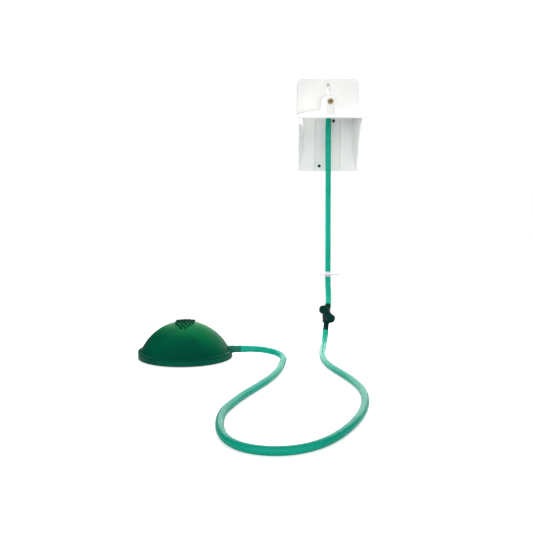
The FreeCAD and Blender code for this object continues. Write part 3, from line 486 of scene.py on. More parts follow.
@dataclass(frozen=True)
class Finish:
    """A material: its colour and drift, its grain and gloss, and how light goes into it.

    Lengths are in metres, patches and grain are counts per metre.
    """

    name: str
    slot: Slot
    colour: Colour
    drift: Colour
    roughness: float = 0.4
    patches: float = 16.0
    grain: float = 1400.0
    relief: float = 0.00003
    scuffs: float = 0.5
    metallic: float = 0.0
    transmission: float = 0.0
    scatter: float = 0.0
    scatter_radius: Colour = (1.0, 1.0, 1.0)
    scatter_depth: float = 0.002
    coat: float = 0.0
    shine: float = 0.5
    ior: float = 1.5

    def material(self) -> bpy.types.Material:
        """The material, built the first time that it is asked for."""
        if self.name in bpy.data.materials:
            return bpy.data.materials[self.name]
        made = bpy.data.materials.new(self.name)
        made.use_nodes = True
        made.node_tree.nodes.clear()
        bench = Bench(made.node_tree)
        shader = bench.add("ShaderNodeBsdfPrincipled")
        steady = {
            "Metallic": self.metallic,
            "Transmission Weight": self.transmission,
            "Subsurface Weight": self.scatter,
            "Subsurface Radius": self.scatter_radius,
            "Subsurface Scale": self.scatter_depth,
            "Coat Weight": self.coat,
            "Coat Roughness": 0.12,
            "Specular IOR Level": self.shine,
            "IOR": self.ior,
        }
        for key, value in steady.items():
            shader.inputs[key].default_value = value
        result = bench.add("ShaderNodeOutputMaterial")
        made.node_tree.links.new(shader.outputs[0], result.inputs["Surface"])
        self.paint(bench, shader)
        return made

    def place(self, bench: Bench) -> bpy.types.NodeSocket:
        """The coordinates that the patterns are laid out in."""
        return bench.add("ShaderNodeTexCoord").outputs["Object"]

    def paint(self, bench: Bench, shader: bpy.types.Node) -> None:
        """Lay colour, gloss and relief on the shader."""
        place = self.place(bench)
        grain = bench.add(
            "ShaderNodeGroup",
            node_tree=grain_group(),
        )
        marks = bench.add("ShaderNodeGroup", node_tree=scuff_group())
        for node in (grain, marks):
            bench.tree.links.new(place, node.inputs["Vector"])
        grain.inputs["Grain"].default_value = self.grain
        grain.inputs["Patches"].default_value = self.patches
        marks.inputs["Scale"].default_value = 60.0
        marks.inputs["Amount"].default_value = self.scuffs
        height, patch = grain.outputs["Height"], grain.outputs["Patch"]
        scuffed = marks.outputs["Mask"]
        self.colouring(bench, shader, place, patch, scuffed)
        gloss = bench.calc("ADD", bench.spread(patch, 0.0, 1.0, self.roughness - 0.03, self.roughness + 0.04),
                           bench.calc("MULTIPLY", scuffed, 0.18))
        bench.tree.links.new(gloss, shader.inputs["Roughness"])
        total = bench.calc("SUBTRACT", height, bench.calc("MULTIPLY", scuffed, 0.8))
        self.relieve(bench, shader, place, total)

    def colouring(self, bench: Bench, shader: bpy.types.Node, place: bpy.types.NodeSocket,
                  patch: bpy.types.NodeSocket, scuffed: bpy.types.NodeSocket) -> None:
        """The base colour: the colour drifting in patches, paler or darker where it is scuffed."""
        base = bench.blend(patch, self.colour, self.drift)
        pale = tuple(0.7 * c + 0.12 for c in self.colour)
        base = bench.blend(bench.calc("MULTIPLY", scuffed, 0.5), base, pale)
        bench.tree.links.new(base, shader.inputs["Base Color"])

    def relieve(self, bench: Bench, shader: bpy.types.Node, place: bpy.types.NodeSocket,
                height: bpy.types.NodeSocket) -> None:
        """The bump from a height between 0 and 1."""
        bump = bench.add("ShaderNodeBump", {"Height": height, "Strength": 0.6, "Distance": self.relief})
        bench.tree.links.new(bump.outputs[0], shader.inputs["Normal"])


@dataclass(frozen=True)
class HoseFinish(Finish):
    """Extruded clear green hose: faint die lines along it, which follow the hose's own UV."""

    lines: float = 42.0

    def colouring(self, bench: Bench, shader: bpy.types.Node, place: bpy.types.NodeSocket,
                  patch: bpy.types.NodeSocket, scuffed: bpy.types.NodeSocket) -> None:
        """The colour deepens a little along the die lines."""
        streaks = self.streaks(bench)
        base = bench.blend(patch, self.colour, self.drift)
        deep = tuple(0.82 * c for c in self.drift)
        base = bench.blend(bench.calc("MULTIPLY", streaks, 0.35), base, deep)
        bench.tree.links.new(base, shader.inputs["Base Color"])

    def streaks(self, bench: Bench) -> bpy.types.NodeSocket:
        """Long thin lines: noise of the angle round the hose, hardly changing along it."""
        uv = bench.add("ShaderNodeUVMap", uv_map="along_hose")
        parts = bench.add("ShaderNodeSeparateXYZ", {0: uv.outputs[0]})
        angle = bench.calc("MULTIPLY", parts.outputs[0], TAU)
        wheel = bench.add(
            "ShaderNodeCombineXYZ",
            {0: bench.calc("COSINE", angle), 1: bench.calc("SINE", angle), 2: bench.calc("MULTIPLY", parts.outputs[1], 2.0)},
        )
        noise = bench.add("ShaderNodeTexNoise", {"Vector": wheel.outputs[0], "Scale": self.lines / TAU, "Detail": 3.0})
        return bench.spread(noise.outputs["Fac"], 0.45, 0.7, 0.0, 1.0)

    def relieve(self, bench: Bench, shader: bpy.types.Node, place: bpy.types.NodeSocket,
                height: bpy.types.NodeSocket) -> None:
        """The die lines stand a few hundredths of a millimetre proud."""
        total = bench.calc("ADD", bench.calc("MULTIPLY", height, 0.3), self.streaks(bench))
        bump = bench.add("ShaderNodeBump", {"Height": total, "Strength": 0.5, "Distance": self.relief})
        bench.tree.links.new(bump.outputs[0], shader.inputs["Normal"])


@dataclass(frozen=True)
class DomeHighlightFinish(Finish):
    """The dome's tinted shell with a painted highlight: paler at the crown, deeper towards the flange."""

    # crown is the painted highlight's colour, centre is where it is strongest and reach is how far it spreads.
    crown: Colour = (0.0, 0.3, 0.13)
    centre: tuple[float, float, float] = (0.0, 0.0, 0.0)
    reach: float = 0.05

    def colouring(self, bench: Bench, shader: bpy.types.Node, place: bpy.types.NodeSocket,
                  patch: bpy.types.NodeSocket, scuffed: bpy.types.NodeSocket) -> None:
        """The colour by the distance from the crown, where a painted highlight pales it, broken up by the patches."""
        away = bench.add("ShaderNodeVectorMath", {0: place, 1: self.centre}, operation="DISTANCE").outputs["Value"]
        wander = bench.calc("MULTIPLY", patch, self.reach * 0.5)
        near = bench.spread(bench.calc("ADD", away, wander), self.reach * 0.55, self.reach * 2.0, 1.0, 0.0)
        base = bench.blend(patch, self.colour, self.drift)
        base = bench.blend(near, base, self.crown)
        bench.tree.links.new(base, shader.inputs["Base Color"])


@dataclass(frozen=True)
class MetalFinish(Finish):
    """Turned or plated metal: fine rings from the tool."""

    pitch: float = 2600.0
    axis: int = 1

    def relieve(self, bench: Bench, shader: bpy.types.Node, place: bpy.types.NodeSocket,
                height: bpy.types.NodeSocket) -> None:
        """Tool rings: a wave along the axis, added to the grain."""
        parts = bench.add("ShaderNodeSeparateXYZ", {0: place})
        wave = bench.calc("SINE", bench.calc("MULTIPLY", parts.outputs[self.axis], self.pitch * TAU))
        total = bench.calc("ADD", height, bench.calc("MULTIPLY", wave, 0.25))
        bump = bench.add("ShaderNodeBump", {"Height": total, "Strength": 0.5, "Distance": self.relief})
        bench.tree.links.new(bump.outputs[0], shader.inputs["Normal"])


@dataclass(frozen=True)
class WovenFinish(Finish):
    """Fine wire cloth: two crossed waves, with painted shade in the openings."""

    mesh: float = 1100.0

    def colouring(self, bench: Bench, shader: bpy.types.Node, place: bpy.types.NodeSocket,
                  patch: bpy.types.NodeSocket, scuffed: bpy.types.NodeSocket) -> None:
        """Bright on the wires and nearly black between them, where painted shade stands for the openings."""
        parts = bench.add("ShaderNodeSeparateXYZ", {0: place})
        waves = [
            bench.calc("ABSOLUTE", bench.calc("SINE", bench.calc("MULTIPLY", parts.outputs[k], self.mesh * math.pi)))
            for k in (0, 2)
        ]
        # The openings get painted shade: the darker colour stands for the bore seen through them.
        hole = bench.spread(bench.calc("MULTIPLY", *waves), 0.3, 0.6, 0.0, 1.0)
        bench.tree.links.new(bench.blend(hole, self.colour, self.drift), shader.inputs["Base Color"])


WHITE_MOULDING = Finish("white_moulding", Slot.BRACKET, (0.80, 0.80, 0.785), (0.77, 0.772, 0.762), roughness=0.38,
                        grain=1500.0, relief=0.00002, scatter=0.12, scatter_depth=0.0015, coat=0.1)
WHITE_NYLON = Finish("white_nylon", Slot.DISC, (0.60, 0.60, 0.61), (0.55, 0.55, 0.57), roughness=0.34,
                     scatter=0.25, scatter_depth=0.002, coat=0.1)
WHITE_FITTING = Finish("white_fitting", Slot.FITTING, (0.80, 0.80, 0.79), (0.75, 0.755, 0.75), roughness=0.36)
HOSE_PVC = HoseFinish("green_hose_pvc", Slot.HOSE, (0.0, 0.46, 0.32), (0.0, 0.41, 0.27), roughness=0.28,
                      relief=0.00003, scuffs=0.3, transmission=0.25, shine=0.03)
VALVE_PLASTIC = Finish("dark_green_valve", Slot.VALVE, (0.0, 0.021, 0.018), (0.0, 0.027, 0.023), roughness=0.36,
                       relief=0.00004, scuffs=0.08, shine=0.03)
STUB_PLASTIC = Finish("green_stub", Slot.DOME, (0.0, 0.2, 0.13), (0.0, 0.15, 0.10), roughness=0.25,
                      transmission=0.2, shine=0.1)
# The nozzles' dark green is partly their own rubber colour and partly painted shade, darker than the dome, standing for
# the shade in their openings.
NOZZLE_RUBBER = Finish("nozzle_rubber_painted_shade", Slot.NOZZLE, (0.0, 0.05, 0.028), (0.0, 0.04, 0.024), roughness=0.42,
                       relief=0.00005, shine=0.03)
SEAL_RUBBER = Finish("black_seal_rubber", Slot.RUBBER, (0.012, 0.012, 0.013), (0.02, 0.02, 0.02), roughness=0.6,
                     relief=0.00006)
BLACK_SCREW = MetalFinish("blackened_screw", Slot.SCREW_BLACK, (0.010, 0.010, 0.011), (0.02, 0.02, 0.021),
                          roughness=0.42, metallic=0.35)
BRIGHT_STEEL = MetalFinish("bright_screw_steel", Slot.SCREW_STEEL, (0.52, 0.52, 0.53), (0.42, 0.42, 0.43),
                           roughness=0.3, metallic=1.0)
BRASS = MetalFinish("tarnished_brass", Slot.BRASS, (0.72, 0.58, 0.34), (0.58, 0.47, 0.29), roughness=0.36,
                    metallic=1.0, relief=0.00002)
# The second colour here is the painted shade in the cloth's openings.
WIRE_CLOTH = WovenFinish("strainer_wire_cloth", Slot.SCREW_STEEL, (0.80, 0.72, 0.52), (0.30, 0.26, 0.18),
                         roughness=0.5, metallic=0.2)


# ------------------------------------------------------------------ wall bracket


@dataclass
class Bracket:
    """The white wall bracket: plate, nose, shelf, side gussets and keyhole, all one moulding."""

    width: float = 133 * MM
    height: float = 196 * MM
    thick: float = 8 * MM
    top_round: float = 12 * MM
    foot_round: float = 3.5 * MM
    channel_half: float = 27.5 * MM
    channel_deep: float = 4 * MM
    channel_top: float = 14 * MM
    shelf_depth: float = 89 * MM
    shelf_front: float = 13 * MM
    shelf_thick: float = 3 * MM
    shelf_lip: float = 4 * MM
    root: float = 4 * MM
    outlet: float = 20 * MM
    inlet: float = 44 * MM
    hanger: float = 85.5 * MM
    hanger_drop: float = 15 * MM
    screws: tuple = ((12.5 * MM, 10 * MM), (-17.5 * MM, -86 * MM))
    voxel: float = 1.1 * MM

    def plate(self) -> Shell:
        """The plate: rows across at each level, drawn in along a quarter circle at the four corners."""
        half, top = self.width / 2, self.height / 2
        quarter = np.linspace(0.0, math.pi / 2, 9)
        low = [(-top + self.foot_round * (1 - math.cos(q)), self.foot_round * (1 - math.sin(q))) for q in quarter]
        high = [(top - self.top_round * (1 - math.sin(q)), self.top_round * (1 - math.cos(q))) for q in quarter]
        levels = np.array(low + high)
        reach = half - levels[:, 1]
        across = np.linspace(-1.0, 1.0, 3)[None] * reach[:, None]
        level = np.repeat(levels[:, :1], 3, 1)
        front = np.stack([across, np.full_like(across, -self.thick), level], -1)
        back = np.stack([across, np.zeros_like(across), level], -1)
        return slab(front, back)

    def shelf(self) -> Shell:
        """The shelf: its height runs out from the wall as a parabola through root, middle and front,
        and those three change smoothly from the ridge in the middle to the flared sides."""
        edge = self.width / 2 - 0.5 * MM
        across = np.linspace(-edge, edge, 61)[:, None]
        t = np.linspace(0.0, 1.0, 33)[None]
        off = np.abs(across)
        stations = [0.0, 30 * MM, 54 * MM, edge]
        back = eased(off, stations, [34 * MM, 33 * MM, 29 * MM, 22 * MM])
        middle = eased(off, stations, [27 * MM, 20 * MM, 17.5 * MM, 17.5 * MM])
        flare = np.sign(across) * eased(off, stations, [0.0, 0.0, 2 * MM, 10 * MM])
        height = back * (1 - t) * (1 - 2 * t) + middle * 4 * t * (1 - t) + self.shelf_front * t * (2 * t - 1)
        x = across + flare * t
        y = -(self.root + (self.shelf_depth - self.root) * t) + 0 * across
        lip = (self.shelf_lip - self.shelf_thick) * np.clip((t - 0.95) / 0.05, 0, 1)
        top = np.stack([x, y, height], -1)
        return slab(top, top - np.stack([0 * x, 0 * x, self.shelf_thick + lip + 0 * x], -1))

    def gusset(self, side: int) -> Shell:
        """A side wall: a thin triangle in plan whose front edge sweeps in along a hollow curve."""
        stations = [-96 * MM, -61 * MM, -34 * MM, -11 * MM, 4 * MM, 11 * MM, 18 * MM]
        level = np.linspace(stations[0], stations[-1], 60)[:, None]
        reach = eased(level, stations, [9 * MM, 26 * MM, 39 * MM, 58 * MM, 78 * MM, 82 * MM, 60 * MM])
        outer = eased(level, stations, [64.5 * MM, 65 * MM, 65.5 * MM, 66 * MM, 66.5 * MM, 68 * MM, 66.5 * MM])
        inner = eased(level, stations, [60 * MM, 53 * MM, 51.5 * MM, 51 * MM, 53 * MM, 54 * MM, 55 * MM])
        t = np.linspace(0.0, 1.0, 16)[None]
        y = -(self.root + (reach - self.root) * t)
        level = level + 0 * t
        outside = np.stack([side * (outer + 0 * t), y, level], -1)
        inside = np.stack([side * (inner + (outer - 2.6 * MM - inner) * t), y, level], -1)
        return slab(outside, inside)

    def nose(self) -> Shell:
        """The nose: rounded rectangles carried forward, wider towards the plate and at their foot."""
        out = np.linspace(self.root, 80 * MM, 40)[:, None]
        stations = [4 * MM, 8 * MM, 15 * MM, 40 * MM, 80 * MM]
        half = eased(out, stations, [21 * MM, 17 * MM, 14.8 * MM, 12.6 * MM, 10.5 * MM])
        top = eased(out, stations, [63 * MM, 59.5 * MM, 57.3 * MM, 55.6 * MM, 54 * MM])
        foot = eased(out, stations, [24 * MM, 24 * MM, 23 * MM, 19 * MM, 11.5 * MM])
        turn = np.linspace(0.0, TAU, 72, endpoint=False)[None]
        square = 0.28
        cos, sin = np.cos(turn), np.sin(turn)
        u = np.sign(cos) * np.abs(cos) ** square
        w = np.sign(sin) * np.abs(sin) ** square
        level = (top + foot) / 2 + (top - foot) / 2 * w
        spread = 1 + 0.30 * np.exp(-np.clip(level - foot, 0, None) / (7 * MM))
        return loft(np.stack([half * u * spread, -out + 0 * u, level], -1))

    def hanger_rim(self) -> Shell:
        """The raised rim of the keyhole: the hull of two circles, a large one below a small one."""
        turn = np.linspace(0.0, TAU, 64, endpoint=False)
        radius = np.where(np.sin(turn) > 0, 5.1 * MM, 6.3 * MM)
        level = np.where(np.sin(turn) > 0, self.hanger, self.hanger - self.hanger_drop) + radius * np.sin(turn)
        across = (5.7 * MM - 0.6 * MM * np.sin(turn)) * np.cos(turn)
        loops = [np.stack([across * s, 0 * across - y, level + 0 * across], -1)
                 for s, y in ((1.0, 1 * MM), (1.0, self.thick + 1.1 * MM), (0.93, self.thick + 1.5 * MM))]
        return loft(np.array(loops))

    def cutters(self) -> list[Shell]:
        """The bores: water inlet with its socket and chamber, outlet, keyhole and two screw holes."""
        forward = frame_at((0, 0, self.inlet), (0, -1, 0))
        down = frame_at((0, -self.outlet, 0), (0, 0, 1))
        inlet = [(0, 13, 0), (3.5, 13, 0), (3.5, 52, 0), (8.5, 52, 0), (8.5, 78, 0), (6.3, 78, 0), (6.3, 86, 0), (0, 86, 0)]
        outlet = [(0, -6, 0), (9, -6, 0), (9, 24.5, 0), (6.5, 24.5, 0), (6.5, 38.5, 0), (3, 38.5, 0), (3, 44, 0), (0, 44, 0)]
        through = [(0, -30, 0), (1, -30, 0), (1, 30, 0), (0, 30, 0)]

        def hole(x: float, z: float, radius: float) -> Shell:
            profile = rounded(through, ring=False) * np.array([radius * 1000, 1.0])
            return lathe(profile, frame_at((x, 0, z), (0, -1, 0)), segments=48)

        slot = block((-2.3 * MM, -30 * MM, self.hanger - self.hanger_drop), (2.3 * MM, 30 * MM, self.hanger))
        cuts = [lathe(rounded(inlet, ring=False), forward), lathe(rounded(outlet, ring=False), down), slot]
        cuts += [hole(0, self.hanger, 2.3 * MM), hole(0, self.hanger - self.hanger_drop, 4.7 * MM)]
        cuts += [hole(x, z, 2.2 * MM) for x, z in self.screws]
        return cuts

    def build(self) -> bpy.types.Object:
        """The bracket's mesh: its shells melted into one skin, then bored."""
        plate = raw_object("wall_bracket_moulding", [self.plate()])
        channel = block((-self.channel_half, -self.thick - MM, -self.height), (self.channel_half, -self.thick + self.channel_deep, self.channel_top))
        combine(plate, [channel])
        shells = [self.shelf(), self.gusset(1), self.gusset(-1), self.nose(), self.hanger_rim()]
        extra = raw_object("bracket_shells", shells)
        plate = join(plate, extra)
        moulded(plate, self.voxel, 5)
        combine(plate, self.cutters())
        return dress(plate, WHITE_MOULDING, "station", ("wall_bracket",), crease=50)


def join(obj: bpy.types.Object, other: bpy.types.Object) -> bpy.types.Object:
    """Put another object's mesh into the first one and remove the other."""
    arrays = []
    for item in (obj, other):
        points = np.empty(len(item.data.vertices) * 3)
        item.data.vertices.foreach_get("co", points)
        arrays.append((points.reshape(-1, 3), [tuple(p.vertices) for p in item.data.polygons]))
    start = len(arrays[0][0])
    faces = arrays[0][1] + [tuple(v + start for v in face) for face in arrays[1][1]]
    mesh = bpy.data.meshes.new(obj.name)
    mesh.from_pydata(np.concatenate([a[0] for a in arrays]).tolist(), [], faces)
    obj.data = mesh
    bpy.data.objects.remove(other)
    return obj


@dataclass
class Fixings:
    """The hanging screw in the keyhole and the two black screws beside the hose."""

    reach: float = 28 * MM
    seats: dict[str, tuple[float, float, float]] = field(default_factory=lambda: {
        "hanger": (0.0, 85.5 * MM, 9.5 * MM),
        "upper": (12.5 * MM, 10 * MM, 4 * MM),
        "lower": (-17.5 * MM, -86 * MM, 4 * MM),
    })

    def screw(self, name: str, across: float, level: float, seat: float) -> bpy.types.Object:
        """A pan-head screw: a domed head with a cross recess and a shank ringed with its thread."""
        head = [(0, 2.4, 0), (1.6, 2.35, 0.6), (2.9, 1.7, 0.7), (3.2, 0.5, 0.5), (3.2, 0, 0.2), (1.9, 0, 0)]
        length = (self.reach + seat) / MM
        thread = [(1.95 - 0.45 * (k % 2), -2.0 - 0.55 * k, 0) for k in range(int((length - 5) / 0.55))]
        shank = [(1.9, -1.6, 0), *thread, (0.2, -length, 0), (0, -length, 0)]
        obj = raw_object(name, [lathe(rounded(head + shank, ring=False), frame_at((across, -seat, level), (0, -1, 0)), segments=36)])
        bars = [block((across - w * MM, -seat - 3 * MM, level - h * MM), (across + w * MM, -seat - 1.2 * MM, level + h * MM))
                for w, h in ((1.7, 0.4), (0.4, 1.7))]
        return combine(obj, bars)

    def build(self) -> None:
        """All three screws."""
        for tag, (across, level, seat) in self.seats.items():
            hanging = tag == "hanger"
            obj = self.screw("hanging_screw" if hanging else f"{tag}_wall_screw", across, level, seat)
            node = "hanger_screw" if hanging else "wall_screws"
            dress(obj, BLACK_SCREW if not hanging else BRIGHT_STEEL, "station", (node,), crease=25)


@dataclass
class Waterway:
    """What the water passes in the bracket: brass bushing, strainer, seal and flow disc, and the outlet."""

    inlet: float = 44 * MM
    outlet: float = 20 * MM
    hose_top: float = 19 * MM

    def bushing(self) -> bpy.types.Object:
        """The brass bushing: a ring profile with a chamfered mouth and a ridged female thread."""
        thread = [(4.75 - 0.5 * (k % 2), 79.6 - 0.45 * k, 0) for k in range(17)]
        outer = [(3, 60, 0), (8.4, 60, 0.4), (8.4, 77.7, 0.3), (6.2, 77.7, 0), (6.2, 80.3, 0.4), (5.3, 80.3, 0.2)]
        inner = [(4.2, 71.6, 0), (4.2, 70.9, 0), (3, 70.9, 0)]
        profile = rounded(outer + thread + inner)
        return raw_object("brass_inlet_bushing", [lathe(profile, frame_at((0, 0, self.inlet), (0, -1, 0)), ring=True)])

    def outlet_fitting(self) -> bpy.types.Object:
        """The outlet fitting: a plug up in the nose and a fluted collar on the end of the hose."""
        profile = [(2.6, 0, 0), (8.5, 0, 0.6), (8.5, 2.0, 0), (8.5, 4, 0.4), (6.45, 4, 0), (6.45, 18, 0.4), (2.6, 18, 0)]
        place = frame_at((0, -self.outlet, self.hose_top), (0, 0, 1))
        shell = lathe(rounded(profile), place, ring=True, segments=144, flutes=(24, 0.5 * MM, 0.8 * MM, 3.5 * MM))
        return raw_object("hose_outlet_fitting", [shell])

    def clip(self) -> bpy.types.Object:
        """The hose clip: a rolled band round the hose and the pinched ear that tightens it."""
        top, low = np.array([0.0, -20.0, 19.0]) * MM, np.array([-0.3, -49.7, -335.2]) * MM
        way = (top - low) / np.linalg.norm(top - low)
        place = frame_at(top - way * 5.8 * MM, way)
        band = lathe(rounded([(6.05, 0, 0), (6.75, 0, 0.3), (6.75, 5, 0.3), (6.05, 5, 0)]), place, ring=True)
        turn = np.linspace(0, TAU, 40, endpoint=False)
        outline = np.stack([1.9 * MM * np.cos(turn), 8.0 * MM + 1.5 * MM * np.sin(turn)], 1)
        ear = cushion(outline, rounded([(0.3, 0.3, 0), (0, 0.6, 0), (0, 4.4, 0), (0.3, 4.7, 0)], ring=False), place)
        return raw_object("hose_clip_band", [band, ear])

    def build(self) -> None:
        """Every piece of the waterway."""
        dress(self.bushing(), BRASS, "station", ("inlet_bushing",), crease=25)
        dress(self.outlet_fitting(), WHITE_FITTING, "station", ("outlet_fitting",))
        dress(self.clip(), BRIGHT_STEEL, "station", ("hose_clip",))
        keep_nodes(WIRE_CLOTH, ["strainer_screen"])
        keep_nodes(SEAL_RUBBER, ["inlet_seal", "outlet_seal"])
        keep_nodes(WHITE_FITTING, ["flow_control_disc"])


# ------------------------------------------------------------------ hoses


@dataclass
class Hoses:
    """The hose from the bracket to the stopcock and the hose from there to the spray head."""

    outer: float = 6 * MM
    bore: float = 4 * MM
    floor_drop: float = 450 * MM
    supply_route: tuple = (
        (0.0, -20.0, 469.0), (-0.3, -48.1, 132.7), (-0.3, -49.7, 114.8), (0.0, -55.9, 97.9), (0.2, -66.3, 83.3), (-2.0, -80.0, 71.8),
    )
    head_route: tuple = (
        (-11.0, -134.8, 26.0), (-12.8, -146.2, 16.4), (-15.1, -160.0, 9.6), (-17.6, -175.3, 6.0),
        (-21.0, -203.0, 6.0), (-26.0, -250.0, 6.0), (-27.0, -305.0, 6.0), (-19.0, -358.0, 6.0),
        (-3.0, -410.0, 6.0), (12.0, -463.0, 6.0), (20.0, -520.0, 6.0), (17.0, -580.0, 6.0),
        (5.0, -640.0, 6.0), (-14.0, -694.0, 6.0), (-36.0, -740.0, 6.0), (-61.0, -776.0, 6.0),
        (-92.0, -800.0, 6.0), (-127.0, -806.0, 6.0), (-160.0, -793.0, 6.0), (-182.0, -763.0, 6.0),
        (-193.0, -722.0, 6.0), (-196.0, -674.0, 6.0), (-193.0, -635.0, 6.0), (-184.0, -600.0, 6.0),
        (-168.0, -551.0, 6.0), (-147.0, -500.0, 6.0), (-126.0, -447.0, 6.0), (-111.0, -392.0, 6.0),
        (-104.0, -345.0, 6.4), (-98.9, -305.8, 8.4), (-105.0, -282.6, 10.6), (-119.3, -263.3, 12.4),
        (-139.7, -250.7, 13.6), (-163.3, -246.5, 14.0), (-180.0, -247.7, 14.0),
    )

    def line(self, name: str, route: tuple) -> Array:
        """The hose's centreline: the points of a smooth spline whose control points are the route's."""
        points = np.array(route) * MM - np.array([0, 0, self.floor_drop])
        curve = bpy.data.curves.new(name, "CURVE")
        curve.dimensions = "3D"
        curve.resolution_u = 8
        spline = curve.splines.new("NURBS")
        spline.points.add(len(points) - 1)
        spline.points.foreach_set("co", np.concatenate([points, np.ones((len(points), 1))], 1).ravel())
        spline.order_u = 3
        spline.use_endpoint_u = True
        obj = bpy.data.objects.new(name, curve)
        bpy.context.scene.collection.objects.link(obj)
        mesh = bpy.data.meshes.new_from_object(obj)
        line = np.empty(len(mesh.vertices) * 3)
        mesh.vertices.foreach_get("co", line)
        bpy.data.objects.remove(obj)
        bpy.data.meshes.remove(mesh)
        return line.reshape(-1, 3)

    def swell(self, line: Array, swells: dict[int, float]) -> Array:
        """The outside radius along a line, swollen where the hose is pushed over a barb at an end."""
        along = np.concatenate([[0], np.cumsum(np.linalg.norm(np.diff(line, axis=0), axis=1))])
        radius = np.full(len(line), self.outer)
        for end, extra in swells.items():
            away = along if end == 0 else along[-1] - along
            radius += extra * np.clip(1 - away / (13 * MM), 0, 1) ** 0.5 * (away < 13 * MM)
        return radius

    def build(self) -> None:
        """Both hoses; the head hose is then loosed from its body and its place baked into its mesh."""
        supply = self.line("supply_line", self.supply_route)
        obj = raw_object("supply_hose_tube", [tube(supply, self.swell(supply, {-1: 0.5 * MM}), self.bore)])
        dress(obj, HOSE_PVC, "station", ("supply_hose",), crease=60)
        head = self.line("head_line", self.head_route)
        obj = raw_object("head_hose_tube", [tube(head, self.swell(head, {0: 0.5 * MM, -1: 0.8 * MM}), self.bore)])
        dress(obj, HOSE_PVC, "station", ("head_hose",), crease=60)
        obj.parent = None
        del obj["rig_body"]
        self.floor((-104.0, -345.0, 6.0))
        self.floor((-174.0, -319.5, 6.0))
        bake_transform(obj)

    def floor(self, point: tuple[float, float, float]) -> tuple[float, float, float]:
        """A point given in millimetres over the floor, in the station's frame."""
        return (point[0] * MM, point[1] * MM, point[2] * MM - self.floor_drop)


@dataclass
class StopDisc:
    """The white disc that slides on the hanging hose."""

    bore: float = 6.3
    hub: float = 8.5
    rim: float = 27.5

    def build(self, axis: Array) -> None:
        """A ring profile: a thin web with a beaded rim, and a tapered hub."""
        low, high = (np.array(c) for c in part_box("hose_stop_disc"))
        profile = [(self.bore, -5.5, 0.3), (self.hub, -5.5, 0.6), (self.hub, -1.2, 0.8), (self.rim - 2, -1.2, 0.5),
                   (self.rim - 1.2, -1.5, 0.4), (self.rim, -1.2, 0.6), (self.rim, 1.2, 0.8), (self.rim - 1.6, 1.5, 0.5),
                   (self.rim - 2.4, 1.1, 0.5), (self.hub + 1, 1.1, 1.2), (self.hub - 1, 5.5, 0.6), (self.bore, 5.5, 0.3)]
        shell = lathe(rounded(profile), frame_at((low + high) / 2, axis), ring=True, segments=128)
        dress(raw_object("sliding_stop_disc", [shell]), WHITE_NYLON, "stop_disc", ("hose_stop_disc",))


# ------------------------------------------------------------------ stopcock


